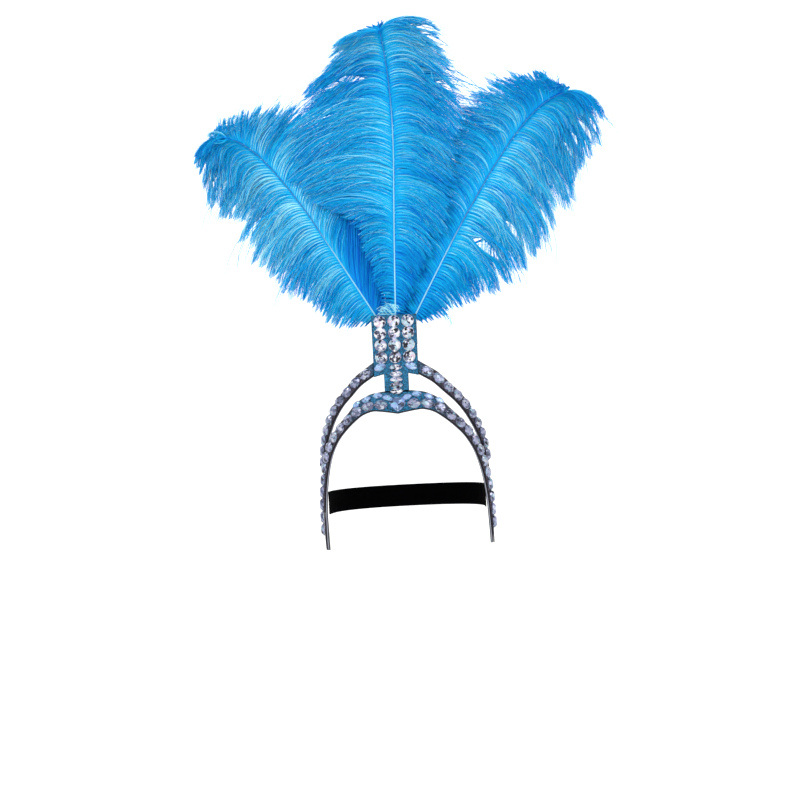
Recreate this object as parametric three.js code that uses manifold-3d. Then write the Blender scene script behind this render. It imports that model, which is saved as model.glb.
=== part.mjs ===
// A feather headdress for the stage: a padded tiara band with an upper arch on each side and a post
// in the middle, all set with faceted stones, three ostrich plumes that stand in a pocket behind the
// post, and an elastic strap round the back. Millimetres, +Z up, and the front faces -Y. The origin is
// the middle of the hollow, level with the middle of the strap. Left is -X, as seen from the front.
import * as THREE from "three";
import { mergeVertices } from "three/addons/utils/BufferGeometryUtils.js";
import Module from "manifold-3d";

const wasm = await Module();
wasm.setup();

// Layers of the band, the arches and the post, measured outwards from the inner side
const coreThickness = 3.2;
const facingThickness = 1.0;
const gap = 0.3;
const facingFrom = coreThickness + gap;
const stonesFrom = facingFrom + facingThickness + gap;
const facingInset = 1.5; // how far the facing stops short of the padded edge
const stripEdgeRound = 0.9; // chamfer of the padded edge

// The ellipse round the hollow that the band's inner face follows. It narrows towards the top.
const hollowHalfWidth = 88.5;
const hollowHalfLength = 78;
const hollowTaper = 0.05; // millimetres of half width lost for each millimetre of height
const archHalfLength = 81; // the arches start level with the post, which leans back

// The post stands in a plane that leans back with the middle of the band
const postLean = 5; // degrees
const bandMiddleHeight = 104; // height of the lower row of stones at the front

// One side of the band, from the point at the front to the low tip at the side. around: degrees
// round the hollow from the front. z: height of the row of stones. upper and lower: distances from that
// row to the upper (then rear) edge and to the lower (then front) edge.
const bandSections = [
  { around: 0, z: 104, upper: 14.4, lower: 9.4 },
  { around: 5, z: 104.2, upper: 14.4, lower: 8.2 },
  { around: 11, z: 104.6, upper: 14.2, lower: 7.2 },
  { around: 18.6, z: 104.6, upper: 12.2, lower: 6.3 },
  { around: 28, z: 100.6, upper: 9.6, lower: 6.2 },
  { around: 36.9, z: 92.6, upper: 6.8, lower: 6.2 },
  { around: 46.6, z: 82, upper: 6.2, lower: 6.2 },
  { around: 54.8, z: 72, upper: 6.2, lower: 6.2 },
  { around: 64.2, z: 57, upper: 6.2, lower: 6.2 },
  { around: 71.4, z: 41, upper: 6.2, lower: 6.2 },
  { around: 78, z: 22, upper: 6.4, lower: 6.4 },
  { around: 83, z: -3, upper: 7, lower: 7 },
  { around: 87, z: -27, upper: 6.2, lower: 6.2 },
  { around: 90, z: -43, upper: 4.2, lower: 4.2 },
  { around: 92, z: -52, upper: 2.2, lower: 2.2 },
];
const bandSteps = 60;

// One upper arch, from inside the post, where it is cut off, to where it dies out behind the band
const archSections = [
  { around: 9, z: 147, upper: 6.2, lower: 6.2 },
  { around: 14, z: 145, upper: 6.2, lower: 6.2 },
  { around: 20.6, z: 139.6, upper: 6.2, lower: 6.2 },
  { around: 29.7, z: 131.6, upper: 6.2, lower: 6.2 },
  { around: 38.6, z: 120.6, upper: 6.2, lower: 6.2 },
  { around: 47.8, z: 110, upper: 6.2, lower: 6.2 },
  { around: 56.9, z: 97.6, upper: 6.2, lower: 6.2 },
  { around: 64.5, z: 85.4, upper: 6.2, lower: 6.2 },
  { around: 72, z: 73, upper: 6.2, lower: 6.2 },
  { around: 78.6, z: 58.6, upper: 6.2, lower: 5.6 },
  { around: 84, z: 44, upper: 5.6, lower: 5 },
  { around: 88.4, z: 29, upper: 4.4, lower: 4 },
  { around: 91.6, z: 13, upper: 2.4, lower: 2.2 },
];
const archSteps = 28;

// The post, in its own plane: a narrow neck and a wider plate, heights above the row of stones
const post = {
  bottom: 15.1,
  shoulder: 29.5,
  top: 96.6,
  neckHalfWidth: 13.1,
  shoulderHalfWidth: 23.8,
  topHalfWidth: 24.3,
};
const postFacingInset = 0.9;

// The pocket behind the plate of the post, which holds the ends of the quills
const pocket = { halfWidth: 23.6, bottom: 64, top: 93, depth: 14.4 };

// Stones: length across, width, height, and the size of the flat on top as a share
const roundStone = { length: 12.4, width: 12.4, height: 4.2, flat: 0.45 };
const neckStone = { length: 13.2, width: 5.9, height: 3.2, flat: 0.4 };
const rowStone = { length: 14.0, width: 7.4, height: 3.3, flat: 0.4 };
const smallStone = { length: 10.2, width: 5.2, height: 2.6, flat: 0.4 };
const pearStone = { length: 16.4, width: 14.8, height: 4.6, flat: 0.4 };
const girdle = 0.9; // height of a stone's straight rim
const rowPitch = 14.3;
const rowTape = { halfWidth: 1.3, thickness: 0.6 }; // what joins the stones of a row

const roundGrid = { columns: [-15, 0, 15], rows: [89.4, 76.7, 63.8, 50.8] };
const neckStoneHeights = [39.9, 32.9, 26.8, 20.7, 14.3];
const junctionStone = { across: 16.6, height: 40.6, tilt: 20 };
const bandRow = { first: 16.8, count: 14 };
const archRow = { first: 21.5, count: 10 };
const smallStones = [
  { along: 10.4, rise: 7.4, turn: 8 },
  { along: 20.4, rise: 9.6, turn: -4 },
  { along: 31, rise: 7.4, turn: -6 },
  { along: 42, rise: 6.8, turn: -4 },
];

// The plumes, in the plane of the post. along: millimetres up the quill from its lower end. lean:
// degrees towards +X. curl: degrees forwards. left and right: reach of the barbs on each side.
const plumes = [
  {
    name: "left",
    start: { x: -4.7, behind: 10.6, z: 72 },
    quill: [
      { along: 0, lean: -30.5, curl: 0 },
      { along: 150, lean: -31, curl: 2 },
      { along: 185, lean: -35, curl: 6 },
      { along: 236, lean: -41, curl: 18 },
      { along: 262, lean: -56, curl: 32 },
      { along: 292, lean: -87, curl: 48 },
      { along: 326, lean: -126, curl: 60 },
    ],
    vane: [
      { along: 34, left: 7, right: 5 },
      { along: 46, left: 26, right: 13 },
      { along: 60, left: 38, right: 22 },
      { along: 78, left: 47, right: 33 },
      { along: 112, left: 58, right: 46 },
      { along: 153, left: 65, right: 54 },
      { along: 203, left: 64, right: 58 },
      { along: 240, left: 63, right: 54 },
      { along: 265, left: 57, right: 42 },
      { along: 290, left: 46, right: 26 },
      { along: 310, left: 32, right: 14 },
      { along: 326, left: 12, right: 6 },
    ],
    twist: 8,
    cup: 4,
  },
  {
    name: "centre",
    start: { x: 1.2, behind: 4, z: 72 },
    quill: [
      { along: 0, lean: 1.2, curl: 0 },
      { along: 180, lean: 2.4, curl: 0 },
      { along: 220, lean: 0.6, curl: 6 },
      { along: 260, lean: -2, curl: 14 },
      { along: 298, lean: -5, curl: 28 },
      { along: 330, lean: -7, curl: 50 },
      { along: 362, lean: -7, curl: 80 },
    ],
    vane: [
      { along: 34, left: 5, right: 5 },
      { along: 52, left: 15, right: 14 },
      { along: 80, left: 32, right: 30 },
      { along: 120, left: 52, right: 48 },
      { along: 160, left: 70, right: 60 },
      { along: 205, left: 84, right: 70 },
      { along: 245, left: 88, right: 74 },
      { along: 280, left: 80, right: 75 },
      { along: 310, left: 64, right: 73 },
      { along: 333, left: 46, right: 64 },
      { along: 350, left: 28, right: 42 },
      { along: 362, left: 8, right: 10 },
    ],
    twist: 0,
    cup: -6,
  },
  {
    name: "right",
    start: { x: 9, behind: 10.6, z: 72 },
    quill: [
      { along: 0, lean: 28.5, curl: 0 },
      { along: 110, lean: 29.5, curl: 0 },
      { along: 150, lean: 32, curl: 2 },
      { along: 200, lean: 34, curl: 8 },
      { along: 248, lean: 41, curl: 18 },
      { along: 284, lean: 52, curl: 30 },
      { along: 318, lean: 80, curl: 42 },
      { along: 376, lean: 126, curl: 52 },
    ],
    vane: [
      { along: 34, left: 5, right: 7 },
      { along: 46, left: 12, right: 19 },
      { along: 62, left: 20, right: 33 },
      { along: 86, left: 32, right: 49 },
      { along: 120, left: 47, right: 69 },
      { along: 160, left: 57, right: 80 },
      { along: 210, left: 60, right: 80 },
      { along: 255, left: 54, right: 77 },
      { along: 290, left: 36, right: 74 },
      { along: 322, left: 19, right: 66 },
      { along: 352, left: 9, right: 54 },
      { along: 376, left: 5, right: 22 },
    ],
    twist: -8,
    cup: 4,
  },
];
const quillShape = { rootRadius: 1.6, tipRadius: 0.6, share: 0.95, sides: 6, steps: 30 };
const vaneShape = { middle: 7, edge: 2.6, droop: 10, fullWidth: 60, steps: 20 };
const vaneStations = [-1, -0.6, 0, 0.6, 1]; // across the vane, as shares of its width
const quillGap = 0.45; // between a quill and the barbs behind it
const socketClearance = 0.35;

// The elastic strap: where its middle runs on one side, from the back to the arm
const strap = { height: 25, thickness: 1.5, steps: 44 };
const strapPoints = [
  { x: 0, y: 99 },
  { x: 31, y: 94.5 },
  { x: 56, y: 80.5 },
  { x: 73, y: 59 },
  { x: 82, y: 35 },
  { x: 85.7, y: 12 },
  { x: 86.7, y: -11 },
];

const colours = {
  core: { color: 0x6d7280, roughness: 0.45, metalness: 0.55 },
  facing: { color: 0x1667a8, roughness: 0.5, metalness: 0.3 },
  stone: { color: 0xd9dcec, roughness: 0.08, metalness: 0.35 },
  quill: { color: 0xbfe8f2, roughness: 0.45, metalness: 0 },
  plume: { color: 0x1c9be0, roughness: 0.85, metalness: 0 },
  elastic: { color: 0x101012, roughness: 0.9, metalness: 0 },
};
const materials = {};
for (const [name, look] of Object.entries(colours)) {
  materials[name] = new THREE.MeshStandardMaterial(look);
}

const radians = THREE.MathUtils.degToRad;

// A closed skin over rings of points that all have the same count, with a flat cap at each end
function loft(rings) {
  const count = rings[0].length;
  const corners = rings.flat();
  const faces = [];
  for (let r = 0; r < rings.length - 1; r++) {
    for (let i = 0; i < count; i++) {
      const a = r * count + i;
      const b = r * count + ((i + 1) % count);
      faces.push(a, b, b + count, a, b + count, a + count);
    }
  }
  const last = (rings.length - 1) * count;
  for (let i = 1; i < count - 1; i++) {
    faces.push(0, i + 1, i);
    faces.push(last, last + i, last + i + 1);
  }
  const geometry = new THREE.BufferGeometry().setFromPoints(corners);
  geometry.setIndex(faces);
  geometry.computeVertexNormals();
  return geometry;
}

// The value of a column of a table at some place between its rows
function column(rows, key, name, value) {
  const next = Math.max(1, rows.findIndex((row) => row[key] >= value));
  const [a, b] = [rows[next - 1], rows[next]];
  return THREE.MathUtils.lerp(a[name], b[name], (value - a[key]) / (b[key] - a[key]));
}

// Frames along a strip round the hollow. Each has its place on the inner side, the direction of
// travel, the outward normal, the direction to the upper edge, and the two widths.
class Strip {
  constructor(sections, halfLength) {
    this.sections = sections;
    const places = sections.map((row) => {
      const angle = radians(row.around);
      return new THREE.Vector3(
        halfWidthAt(row.z) * Math.sin(angle),
        -halfLength * Math.cos(angle),
        row.z,
      );
    });
    for (const place of places) {
      place.y += (place.z - bandMiddleHeight) * Math.tan(radians(postLean)) * frontShare(place);
    }
    this.curve = new THREE.CatmullRomCurve3(places, false, "centripetal");
    this.length = this.curve.getLength();
  }

  at(share) {
    const t = this.curve.getUtoTmapping(share);
    const index = Math.min(Math.floor(t * (this.sections.length - 1)), this.sections.length - 2);
    const part = t * (this.sections.length - 1) - index;
    const [a, b] = [this.sections[index], this.sections[index + 1]];
    const place = this.curve.getPoint(t);
    const along = this.curve.getTangent(t);
    const tilt = radians(postLean) * frontShare(place);
    const flat = new THREE.Vector3(
      place.x / halfWidthAt(place.z) ** 2,
      place.y / hollowHalfLength ** 2,
      0,
    ).normalize();
    const out = flat.multiplyScalar(Math.cos(tilt)).setZ(Math.sin(tilt));
    const up = new THREE.Vector3().crossVectors(out, along).normalize();
    out.crossVectors(along, up).normalize();
    return {
      place,
      along,
      out,
      up,
      upper: THREE.MathUtils.lerp(a.upper, b.upper, part),
      lower: THREE.MathUtils.lerp(a.lower, b.lower, part),
    };
  }
}

function halfWidthAt(z) {
  return hollowHalfWidth - hollowTaper * Math.max(0, z);
}

// 1 at the front of the hollow and 0 at its sides: how much of the post's lean a place shares
function frontShare(place) {
  return Math.min(1, Math.max(0, -place.y / hollowHalfLength)) ** 2;
}

function offset(frame, across, outwards) {
  return frame.place.clone().addScaledVector(frame.up, across).addScaledVector(frame.out, outwards);
}

function mirrored(frame) {
  const flip = (v) => new THREE.Vector3(-v.x, v.y, v.z);
  return { ...frame, place: flip(frame.place), out: flip(frame.out), up: flip(frame.up) };
}

function coreRing(frame) {
  const r = Math.min(stripEdgeRound, frame.upper / 2);
  return [
    offset(frame, -frame.lower + r, 0),
    offset(frame, frame.upper - r, 0),
    offset(frame, frame.upper, r),
    offset(frame, frame.upper, coreThickness - r),
    offset(frame, frame.upper - r, coreThickness),
    offset(frame, -frame.lower + r, coreThickness),
    offset(frame, -frame.lower, coreThickness - r),
    offset(frame, -frame.lower, r),
  ];
}

function facingRing(frame) {
  const inset = Math.min(facingInset, frame.lower * 0.4, frame.upper * 0.4);
  return [
    offset(frame, -frame.lower + inset, facingFrom),
    offset(frame, frame.upper - inset, facingFrom),
    offset(frame, frame.upper - inset, facingFrom + facingThickness),
    offset(frame, -frame.lower + inset, facingFrom + facingThickness),
  ];
}

function tapeRing(frame) {
  return [
    offset(frame, -rowTape.halfWidth, stonesFrom),
    offset(frame, rowTape.halfWidth, stonesFrom),
    offset(frame, rowTape.halfWidth, stonesFrom + rowTape.thickness),
    offset(frame, -rowTape.halfWidth, stonesFrom + rowTape.thickness),
  ];
}

// The outline of a stone, going round counter-clockwise in its own plane
function roundOutline(size, sides = 12) {
  return Array.from({ length: sides }, (_, i) => {
    const angle = (2 * Math.PI * i) / sides;
    return [(Math.cos(angle) * size.length) / 2, (Math.sin(angle) * size.width) / 2];
  });
}

// A pointed oval, whose sides are two arcs that meet at the ends
function navetteOutline(size, perSide = 5) {
  const half = size.length / 2;
  const rise = size.width / 2;
  const radius = (half * half + rise * rise) / (2 * rise);
  const side = Array.from({ length: perSide }, (_, i) => {
    const x = half - (size.length * i) / perSide;
    return [x, Math.sqrt(radius * radius - x * x) - (radius - rise)];
  });
  return [...side, ...side.map(([x, y]) => [-x, -y])];
}

// A pear shape: half an ellipse above, and below it two bulging sides that meet in a point
function pearOutline(size, perSide = 6) {
  const half = size.length / 2;
  const crown = size.width * 0.42;
  const point = size.width - crown;
  const top = Array.from({ length: perSide }, (_, i) => {
    const angle = (Math.PI * i) / perSide;
    return [half * Math.cos(angle), crown * Math.sin(angle)];
  });
  const side = Array.from({ length: perSide }, (_, i) => {
    const down = i / perSide;
    return [-half * (1 - down ** 1.7), -point * down];
  });
  const other = side.slice(1).reverse().map(([x, y]) => [-x, y]);
  return [...top, ...side, [0, -point], ...other].map(([x, y]) => [x, y - crown + size.width / 2]);
}

// A stone with a flat back at z = 0, a straight rim and one slope of facets up to its flat top
function stoneGeometry(outline, size) {
  const levels = [
    { share: 1, z: 0 },
    { share: 1, z: girdle },
    { share: size.flat, z: size.height },
  ];
  return loft(
    levels.map((level) =>
      outline.map(([x, y]) => new THREE.Vector3(x * level.share, y * level.share, level.z)),
    ),
  );
}

function named(name, geometry, material) {
  const mesh = new THREE.Mesh(geometry, materials[material]);
  mesh.name = name;
  return mesh;
}

// Puts a stone on a strip: across it by rise, and turned by some degrees about its own height
function stoneMatrix(frame, rise, turn, mirror) {
  const x = new THREE.Vector3().crossVectors(frame.up, frame.out).normalize();
  const basis = new THREE.Matrix4().makeBasis(x, frame.up, frame.out);
  const spin = new THREE.Matrix4().makeRotationZ(radians(mirror ? -turn : turn));
  return basis.multiply(spin).setPosition(offset(frame, rise, stonesFrom));
}

function toSolid(geometry) {
  const bare = new THREE.BufferGeometry().setAttribute("position", geometry.getAttribute("position"));
  bare.setIndex(geometry.getIndex());
  const merged = mergeVertices(bare, 1e-4);
  return new wasm.Manifold(
    new wasm.Mesh({
      numProp: 3,
      vertProperties: merged.attributes.position.array,
      triVerts: new Uint32Array(merged.index.array),
    }),
  );
}

function fromSolid(solid) {
  const { vertProperties, triVerts, numProp } = solid.getMesh();
  const positions = new Float32Array((vertProperties.length / numProp) * 3);
  for (let i = 0; i < positions.length / 3; i++) {
    positions.set(vertProperties.subarray(i * numProp, i * numProp + 3), i * 3);
  }
  const geometry = new THREE.BufferGeometry();
  geometry.setAttribute("position", new THREE.BufferAttribute(positions, 3));
  geometry.setIndex(new THREE.BufferAttribute(triVerts, 1));
  geometry.computeVertexNormals();
  return geometry;
}

function frames(strip, from, to, steps, mirror) {
  return Array.from({ length: steps + 1 }, (_, i) => {
    const frame = strip.at(from + ((to - from) * i) / steps);
    return mirror ? mirrored(frame) : frame;
  });
}

const band = new Strip(bandSections, hollowHalfLength);
const arch = new Strip(archSections, archHalfLength);
const sides = [
  { name: "left", mirror: true },
  { name: "right", mirror: false },
];

// The frames of a strip run from the middle outwards, so those of the left side are turned round
function sideGeometry(ring, strip, from, to, steps, mirror) {
  const rings = frames(strip, from, to, steps, mirror).map(ring);
  return loft(mirror ? rings.reverse() : rings);
}

function makeBand() {
  const group = new THREE.Group();
  const left = frames(band, 0, 1, bandSteps / 2, true).reverse().slice(0, -1);
  const all = [...left, ...frames(band, 0, 1, bandSteps / 2, false)];
  group.add(named("front_band_core", loft(all.map(coreRing)), "core"));
  group.add(named("front_band_facing", loft(all.map(facingRing)), "facing"));
  return group;
}

// The room that the plate of the post takes, with the gap that it keeps to the arches
function plateRoom() {
  const depth = 40;
  const width = 2 * (post.shoulderHalfWidth + gap);
  const room = new THREE.BoxGeometry(width, depth, 2 * post.top);
  room.deleteAttribute("normal");
  room.deleteAttribute("uv");
  room.rotateX(radians(-postLean)).translate(0, -hollowHalfLength, bandMiddleHeight);
  return toSolid(room);
}

function makeArches() {
  const group = new THREE.Group();
  const room = plateRoom();
  for (const { name, mirror } of sides) {
    const core = toSolid(sideGeometry(coreRing, arch, 0, 1, archSteps, mirror)).subtract(room);
    const facing = toSolid(sideGeometry(facingRing, arch, 0, 1, archSteps, mirror)).subtract(room);
    group.add(named("upper_arch_core_" + name, fromSolid(core), "core"));
    group.add(named("upper_arch_facing_" + name, fromSolid(facing), "facing"));
  }
  return group;
}

// A row of pointed stones along a strip, joined by the narrow tape that they are mounted on
function rowGeometry(strip, row, mirror) {
  const half = rowStone.length / 2;
  const from = (row.first - half + 1) / strip.length;
  const to = (row.first + (row.count - 1) * rowPitch + half - 1) / strip.length;
  let joined = toSolid(sideGeometry(tapeRing, strip, from, to, row.count, mirror));
  const stone = stoneGeometry(navetteOutline(rowStone), rowStone);
  for (let i = 0; i < row.count; i++) {
    const frame = strip.at((row.first + i * rowPitch) / strip.length);
    const matrix = stoneMatrix(mirror ? mirrored(frame) : frame, 0, 0, mirror);
    joined = joined.add(toSolid(stone.clone().applyMatrix4(matrix)));
  }
  return fromSolid(joined);
}

function placed(mesh, matrix) {
  matrix.decompose(mesh.position, mesh.quaternion, mesh.scale);
  return mesh;
}

function makeBandStones() {
  const group = new THREE.Group();
  const small = stoneGeometry(navetteOutline(smallStone), smallStone);
  for (const { name, mirror } of sides) {
    group.add(named("band_stone_row_" + name, rowGeometry(band, bandRow, mirror), "stone"));
    group.add(named("arch_stone_row_" + name, rowGeometry(arch, archRow, mirror), "stone"));
    smallStones.forEach(({ along, rise, turn }, i) => {
      const frame = band.at(along / band.length);
      const matrix = stoneMatrix(mirror ? mirrored(frame) : frame, rise, turn, mirror);
      const stone = named("small_stone_" + name + "_" + (i + 1), small, "stone");
      group.add(placed(stone, matrix));
    });
  }
  const pear = named("pear_stone", stoneGeometry(pearOutline(pearStone), pearStone), "stone");
  group.add(placed(pear, stoneMatrix(band.at(0), 0.4, 0, false)));
  return group;
}

function postShape(inset) {
  const shape = new THREE.Shape();
  const neck = post.neckHalfWidth - inset;
  shape.moveTo(-neck, post.bottom);
  shape.lineTo(neck, post.bottom);
  shape.lineTo(neck, post.shoulder + inset);
  shape.lineTo(post.shoulderHalfWidth - inset, post.shoulder + inset);
  shape.lineTo(post.topHalfWidth - inset, post.top - inset);
  shape.lineTo(-post.topHalfWidth + inset, post.top - inset);
  shape.lineTo(-post.shoulderHalfWidth + inset, post.shoulder + inset);
  shape.lineTo(-neck, post.shoulder + inset);
  return shape;
}

// A flat piece of the post, standing upright, at some distance in front of the plane of the post
function plate(name, shape, from, thickness, material) {
  const geometry = new THREE.ExtrudeGeometry(shape, { depth: thickness, bevelEnabled: false });
  geometry.rotateX(Math.PI / 2).translate(0, -from, 0);
  return named(name, geometry, material);
}

function makePost() {
  const group = new THREE.Group();
  group.add(plate("post_core", postShape(0), 0, coreThickness, "core"));
  group.add(plate("post_facing", postShape(postFacingInset), facingFrom, facingThickness, "facing"));
  return group;
}

function makePostStones() {
  const group = new THREE.Group();
  group.position.y = -stonesFrom;
  group.rotation.x = Math.PI / 2; // the stones' own z is their height, and their y is up the post
  const round = stoneGeometry(roundOutline(roundStone), roundStone);
  const oval = stoneGeometry(navetteOutline(neckStone), neckStone);
  roundGrid.rows.forEach((height, row) => {
    roundGrid.columns.forEach((x, col) => {
      const stone = named("round_stone_" + (row + 1) + "_" + (col + 1), round, "stone");
      stone.position.set(x, height, 0);
      group.add(stone);
    });
  });
  neckStoneHeights.forEach((height, i) => {
    const stone = named("neck_stone_" + (i + 1), oval, "stone");
    stone.position.set(0, height, 0);
    group.add(stone);
  });
  const corner = stoneGeometry(navetteOutline(rowStone), rowStone);
  for (const { name, mirror } of sides) {
    const stone = named("junction_stone_" + name, corner, "stone");
    const side = mirror ? -1 : 1;
    stone.position.set(side * junctionStone.across, junctionStone.height, 0);
    stone.rotation.z = radians(-side * junctionStone.tilt);
    group.add(stone);
  }
  return group;
}

// Frames up a quill, found by walking along it a little at a time
function quillFrames(plume, from, to, steps) {
  const total = plume.quill.at(-1).along;
  const stride = 1;
  const place = new THREE.Vector3(plume.start.x, plume.start.behind, plume.start.z);
  const found = [];
  const wanted = Array.from({ length: steps + 1 }, (_, i) => from + ((to - from) * i) / steps);
  for (let along = 0; wanted.length; along += stride) {
    const here = Math.min(along, total);
    const lean = radians(column(plume.quill, "along", "lean", here));
    const curl = radians(column(plume.quill, "along", "curl", here));
    const up = new THREE.Vector3(
      Math.sin(lean) * Math.cos(curl),
      -Math.sin(curl),
      Math.cos(lean) * Math.cos(curl),
    );
    const front = new THREE.Vector3(
      -Math.sin(lean) * Math.sin(curl),
      -Math.cos(curl),
      -Math.cos(lean) * Math.sin(curl),
    );
    front.applyAxisAngle(up, radians(plume.twist));
    const side = new THREE.Vector3().crossVectors(up, front);
    while (wanted.length && wanted[0] < along + stride) {
      const rest = wanted.shift() - along;
      const point = place.clone().addScaledVector(up, rest);
      found.push({ along: along + rest, place: point, up, front, side });
    }
    place.addScaledVector(up, stride);
  }
  return found;
}

function tube(plume, from, to, steps, radiusAt) {
  const rings = quillFrames(plume, from, to, steps).map((frame) =>
    Array.from({ length: quillShape.sides }, (_, i) => {
      const angle = (2 * Math.PI * i) / quillShape.sides;
      return frame.place
        .clone()
        .addScaledVector(frame.side, radiusAt(frame.along) * Math.cos(angle))
        .addScaledVector(frame.front, radiusAt(frame.along) * -Math.sin(angle));
    }),
  );
  return loft(rings);
}

function quillRadius(plume) {
  const { rootRadius, tipRadius } = quillShape;
  const total = plume.quill.at(-1).along;
  return (along) => THREE.MathUtils.lerp(rootRadius, tipRadius, Math.min(1, along / total));
}

// The outer form of the barbs: a cupped sheet, thick along the quill and thin at its edges, that
// lies just behind the quill. The barbs droop towards its edges, and less so where they are short.
function vaneGeometry(plume) {
  const radius = quillRadius(plume);
  const [from, to] = [plume.vane[0].along, plume.vane.at(-1).along];
  const rings = quillFrames(plume, from, to, vaneShape.steps).map((frame) => {
    const tip = Math.min(1, (to - frame.along) / 50 + 0.35);
    const point = (share, back) => {
      const reach = column(plume.vane, "along", share < 0 ? "left" : "right", frame.along);
      const bow = Math.min(1, reach / vaneShape.fullWidth) * share ** 2;
      const thickness = THREE.MathUtils.lerp(vaneShape.middle, vaneShape.edge, share ** 2) * tip;
      const depth = radius(frame.along) + quillGap + plume.cup * bow + back * thickness;
      return frame.place
        .clone()
        .addScaledVector(frame.side, reach * share)
        .addScaledVector(frame.up, -vaneShape.droop * tip * bow)
        .addScaledVector(frame.front, -depth);
    };
    return [
      ...vaneStations.map((share) => point(share, 0)),
      ...[...vaneStations].reverse().map((share) => point(share, 1)),
    ];
  });
  return loft(rings);
}

function makePlumes() {
  const group = new THREE.Group();
  for (const plume of plumes) {
    const total = plume.quill.at(-1).along;
    const quill = tube(plume, 0, total * quillShape.share, quillShape.steps, quillRadius(plume));
    group.add(named("quill_" + plume.name, quill, "quill"));
    group.add(named("plume_" + plume.name, vaneGeometry(plume), "plume"));
  }
  return group;
}

// A plain block with a socket for each quill
function makePocket() {
  const { halfWidth, bottom, top, depth } = pocket;
  const box = new THREE.BoxGeometry(2 * halfWidth, depth, top - bottom);
  box.translate(0, gap + depth / 2, (top + bottom) / 2);
  box.deleteAttribute("normal");
  box.deleteAttribute("uv");
  let solid = toSolid(box);
  for (const plume of plumes) {
    const radius = quillRadius(plume);
    const hole = tube(plume, -1, 60, 12, (along) => radius(along) + socketClearance);
    solid = solid.subtract(toSolid(hole));
  }
  return named("quill_pocket", fromSolid(solid), "core");
}

function makeStrap() {
  const half = strapPoints.map(({ x, y }) => new THREE.Vector3(x, y, 0));
  const other = half.slice(1).reverse().map((p) => new THREE.Vector3(-p.x, p.y, 0));
  const curve = new THREE.CatmullRomCurve3([...other, ...half], false, "centripetal");
  const up = new THREE.Vector3(0, 0, strap.height / 2);
  const rings = Array.from({ length: strap.steps + 1 }, (_, i) => {
    const place = curve.getPointAt(i / strap.steps);
    const along = curve.getTangentAt(i / strap.steps);
    const inwards = new THREE.Vector3(along.y, -along.x, 0).multiplyScalar(strap.thickness);
    return [
      place.clone().add(up),
      place.clone().add(up).add(inwards),
      place.clone().sub(up).add(inwards),
      place.clone().sub(up),
    ];
  });
  return named("back_strap", loft(rings), "elastic");
}

const headdress = new THREE.Group();
headdress.add(makeBand(), makeArches(), makeBandStones(), makeStrap());

const front = new THREE.Group();
front.position.set(0, -hollowHalfLength, bandMiddleHeight);
front.rotation.x = radians(-postLean);
front.add(makePost(), makePostStones(), makePocket(), makePlumes());
headdress.add(front);

export default headdress;
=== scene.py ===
import math

import bpy
import numpy as np
from mathutils import Matrix, Vector


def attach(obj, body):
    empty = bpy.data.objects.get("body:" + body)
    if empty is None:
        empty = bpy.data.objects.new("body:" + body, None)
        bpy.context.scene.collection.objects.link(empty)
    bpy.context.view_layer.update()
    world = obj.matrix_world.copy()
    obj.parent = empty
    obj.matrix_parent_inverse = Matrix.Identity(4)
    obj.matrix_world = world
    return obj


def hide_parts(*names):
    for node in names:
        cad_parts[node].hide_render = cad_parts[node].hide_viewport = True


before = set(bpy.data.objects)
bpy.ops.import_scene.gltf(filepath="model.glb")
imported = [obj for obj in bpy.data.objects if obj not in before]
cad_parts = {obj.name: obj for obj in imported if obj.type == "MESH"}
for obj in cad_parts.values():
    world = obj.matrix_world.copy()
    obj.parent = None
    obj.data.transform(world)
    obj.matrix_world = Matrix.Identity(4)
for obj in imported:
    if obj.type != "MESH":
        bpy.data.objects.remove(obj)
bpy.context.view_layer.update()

mm = 0.001

# Angles in degrees, lengths in mm. The picture is taken to be 800 by 800.
view = {
    "turn": 4.0,  # the camera stands a little to the right of straight ahead
    "lean": 3.0,  # the picture's top leans to the left
    "distance": 2400.0,
    "target": (0.0, 0.0, 109.0),
    "focal": 2178.0,  # in pixels
    "shift": 2.6,  # the picture is moved right by this many pixels
    "side": 800,
    "scale": 1.1,  # mm to a pixel at the object
}


def cameraAxes():
    turn, lean = math.radians(view["turn"]), math.radians(view["lean"])
    target = np.array(view["target"])
    eye = target + view["distance"] * np.array([math.sin(turn), -math.cos(turn), 0.0])
    forward = (target - eye) / view["distance"]
    level = np.cross(forward, [0.0, 0.0, 1.0])
    upright = np.cross(level, forward)
    right = level * math.cos(lean) - upright * math.sin(lean)
    up = upright * math.cos(lean) + level * math.sin(lean)
    return eye, right, up, forward


eye, cameraRight, cameraUp, cameraForward = cameraAxes()


def toPicture(points):
    ray = np.asarray(points) - eye
    scale = view["focal"] / (ray @ cameraForward)
    middle = view["side"] / 2
    x, y = middle + view["shift"] + (ray @ cameraRight) * scale, middle - (ray @ cameraUp) * scale
    return np.stack([x, y], -1)


def addCamera():
    data = bpy.data.cameras.new("camera")
    data.sensor_width = 36.0
    data.lens = view["focal"] / view["side"] * 36.0
    data.shift_x = -view["shift"] / view["side"]
    data.clip_start = 0.1
    camera = bpy.data.objects.new("camera", data)
    bpy.context.scene.collection.objects.link(camera)
    rows = np.stack([cameraRight, cameraUp, -cameraForward, eye * mm], 1)
    camera.matrix_world = Matrix([*rows.tolist(), [0, 0, 0, 1]])
    bpy.context.scene.camera = camera


for spare in ("Cube", "Light", "Camera"):
    if spare in bpy.data.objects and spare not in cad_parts:
        bpy.data.objects.remove(bpy.data.objects[spare])
addCamera()
print("camera ready")

# Plume work is done in the post's own plane: x, depth behind the post, height up the post
postPlane = {"lean": 5.0, "y": -78.0, "z": 104.0}
leanCos, leanSin = math.cos(math.radians(postPlane["lean"])), math.sin(math.radians(postPlane["lean"]))


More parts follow.
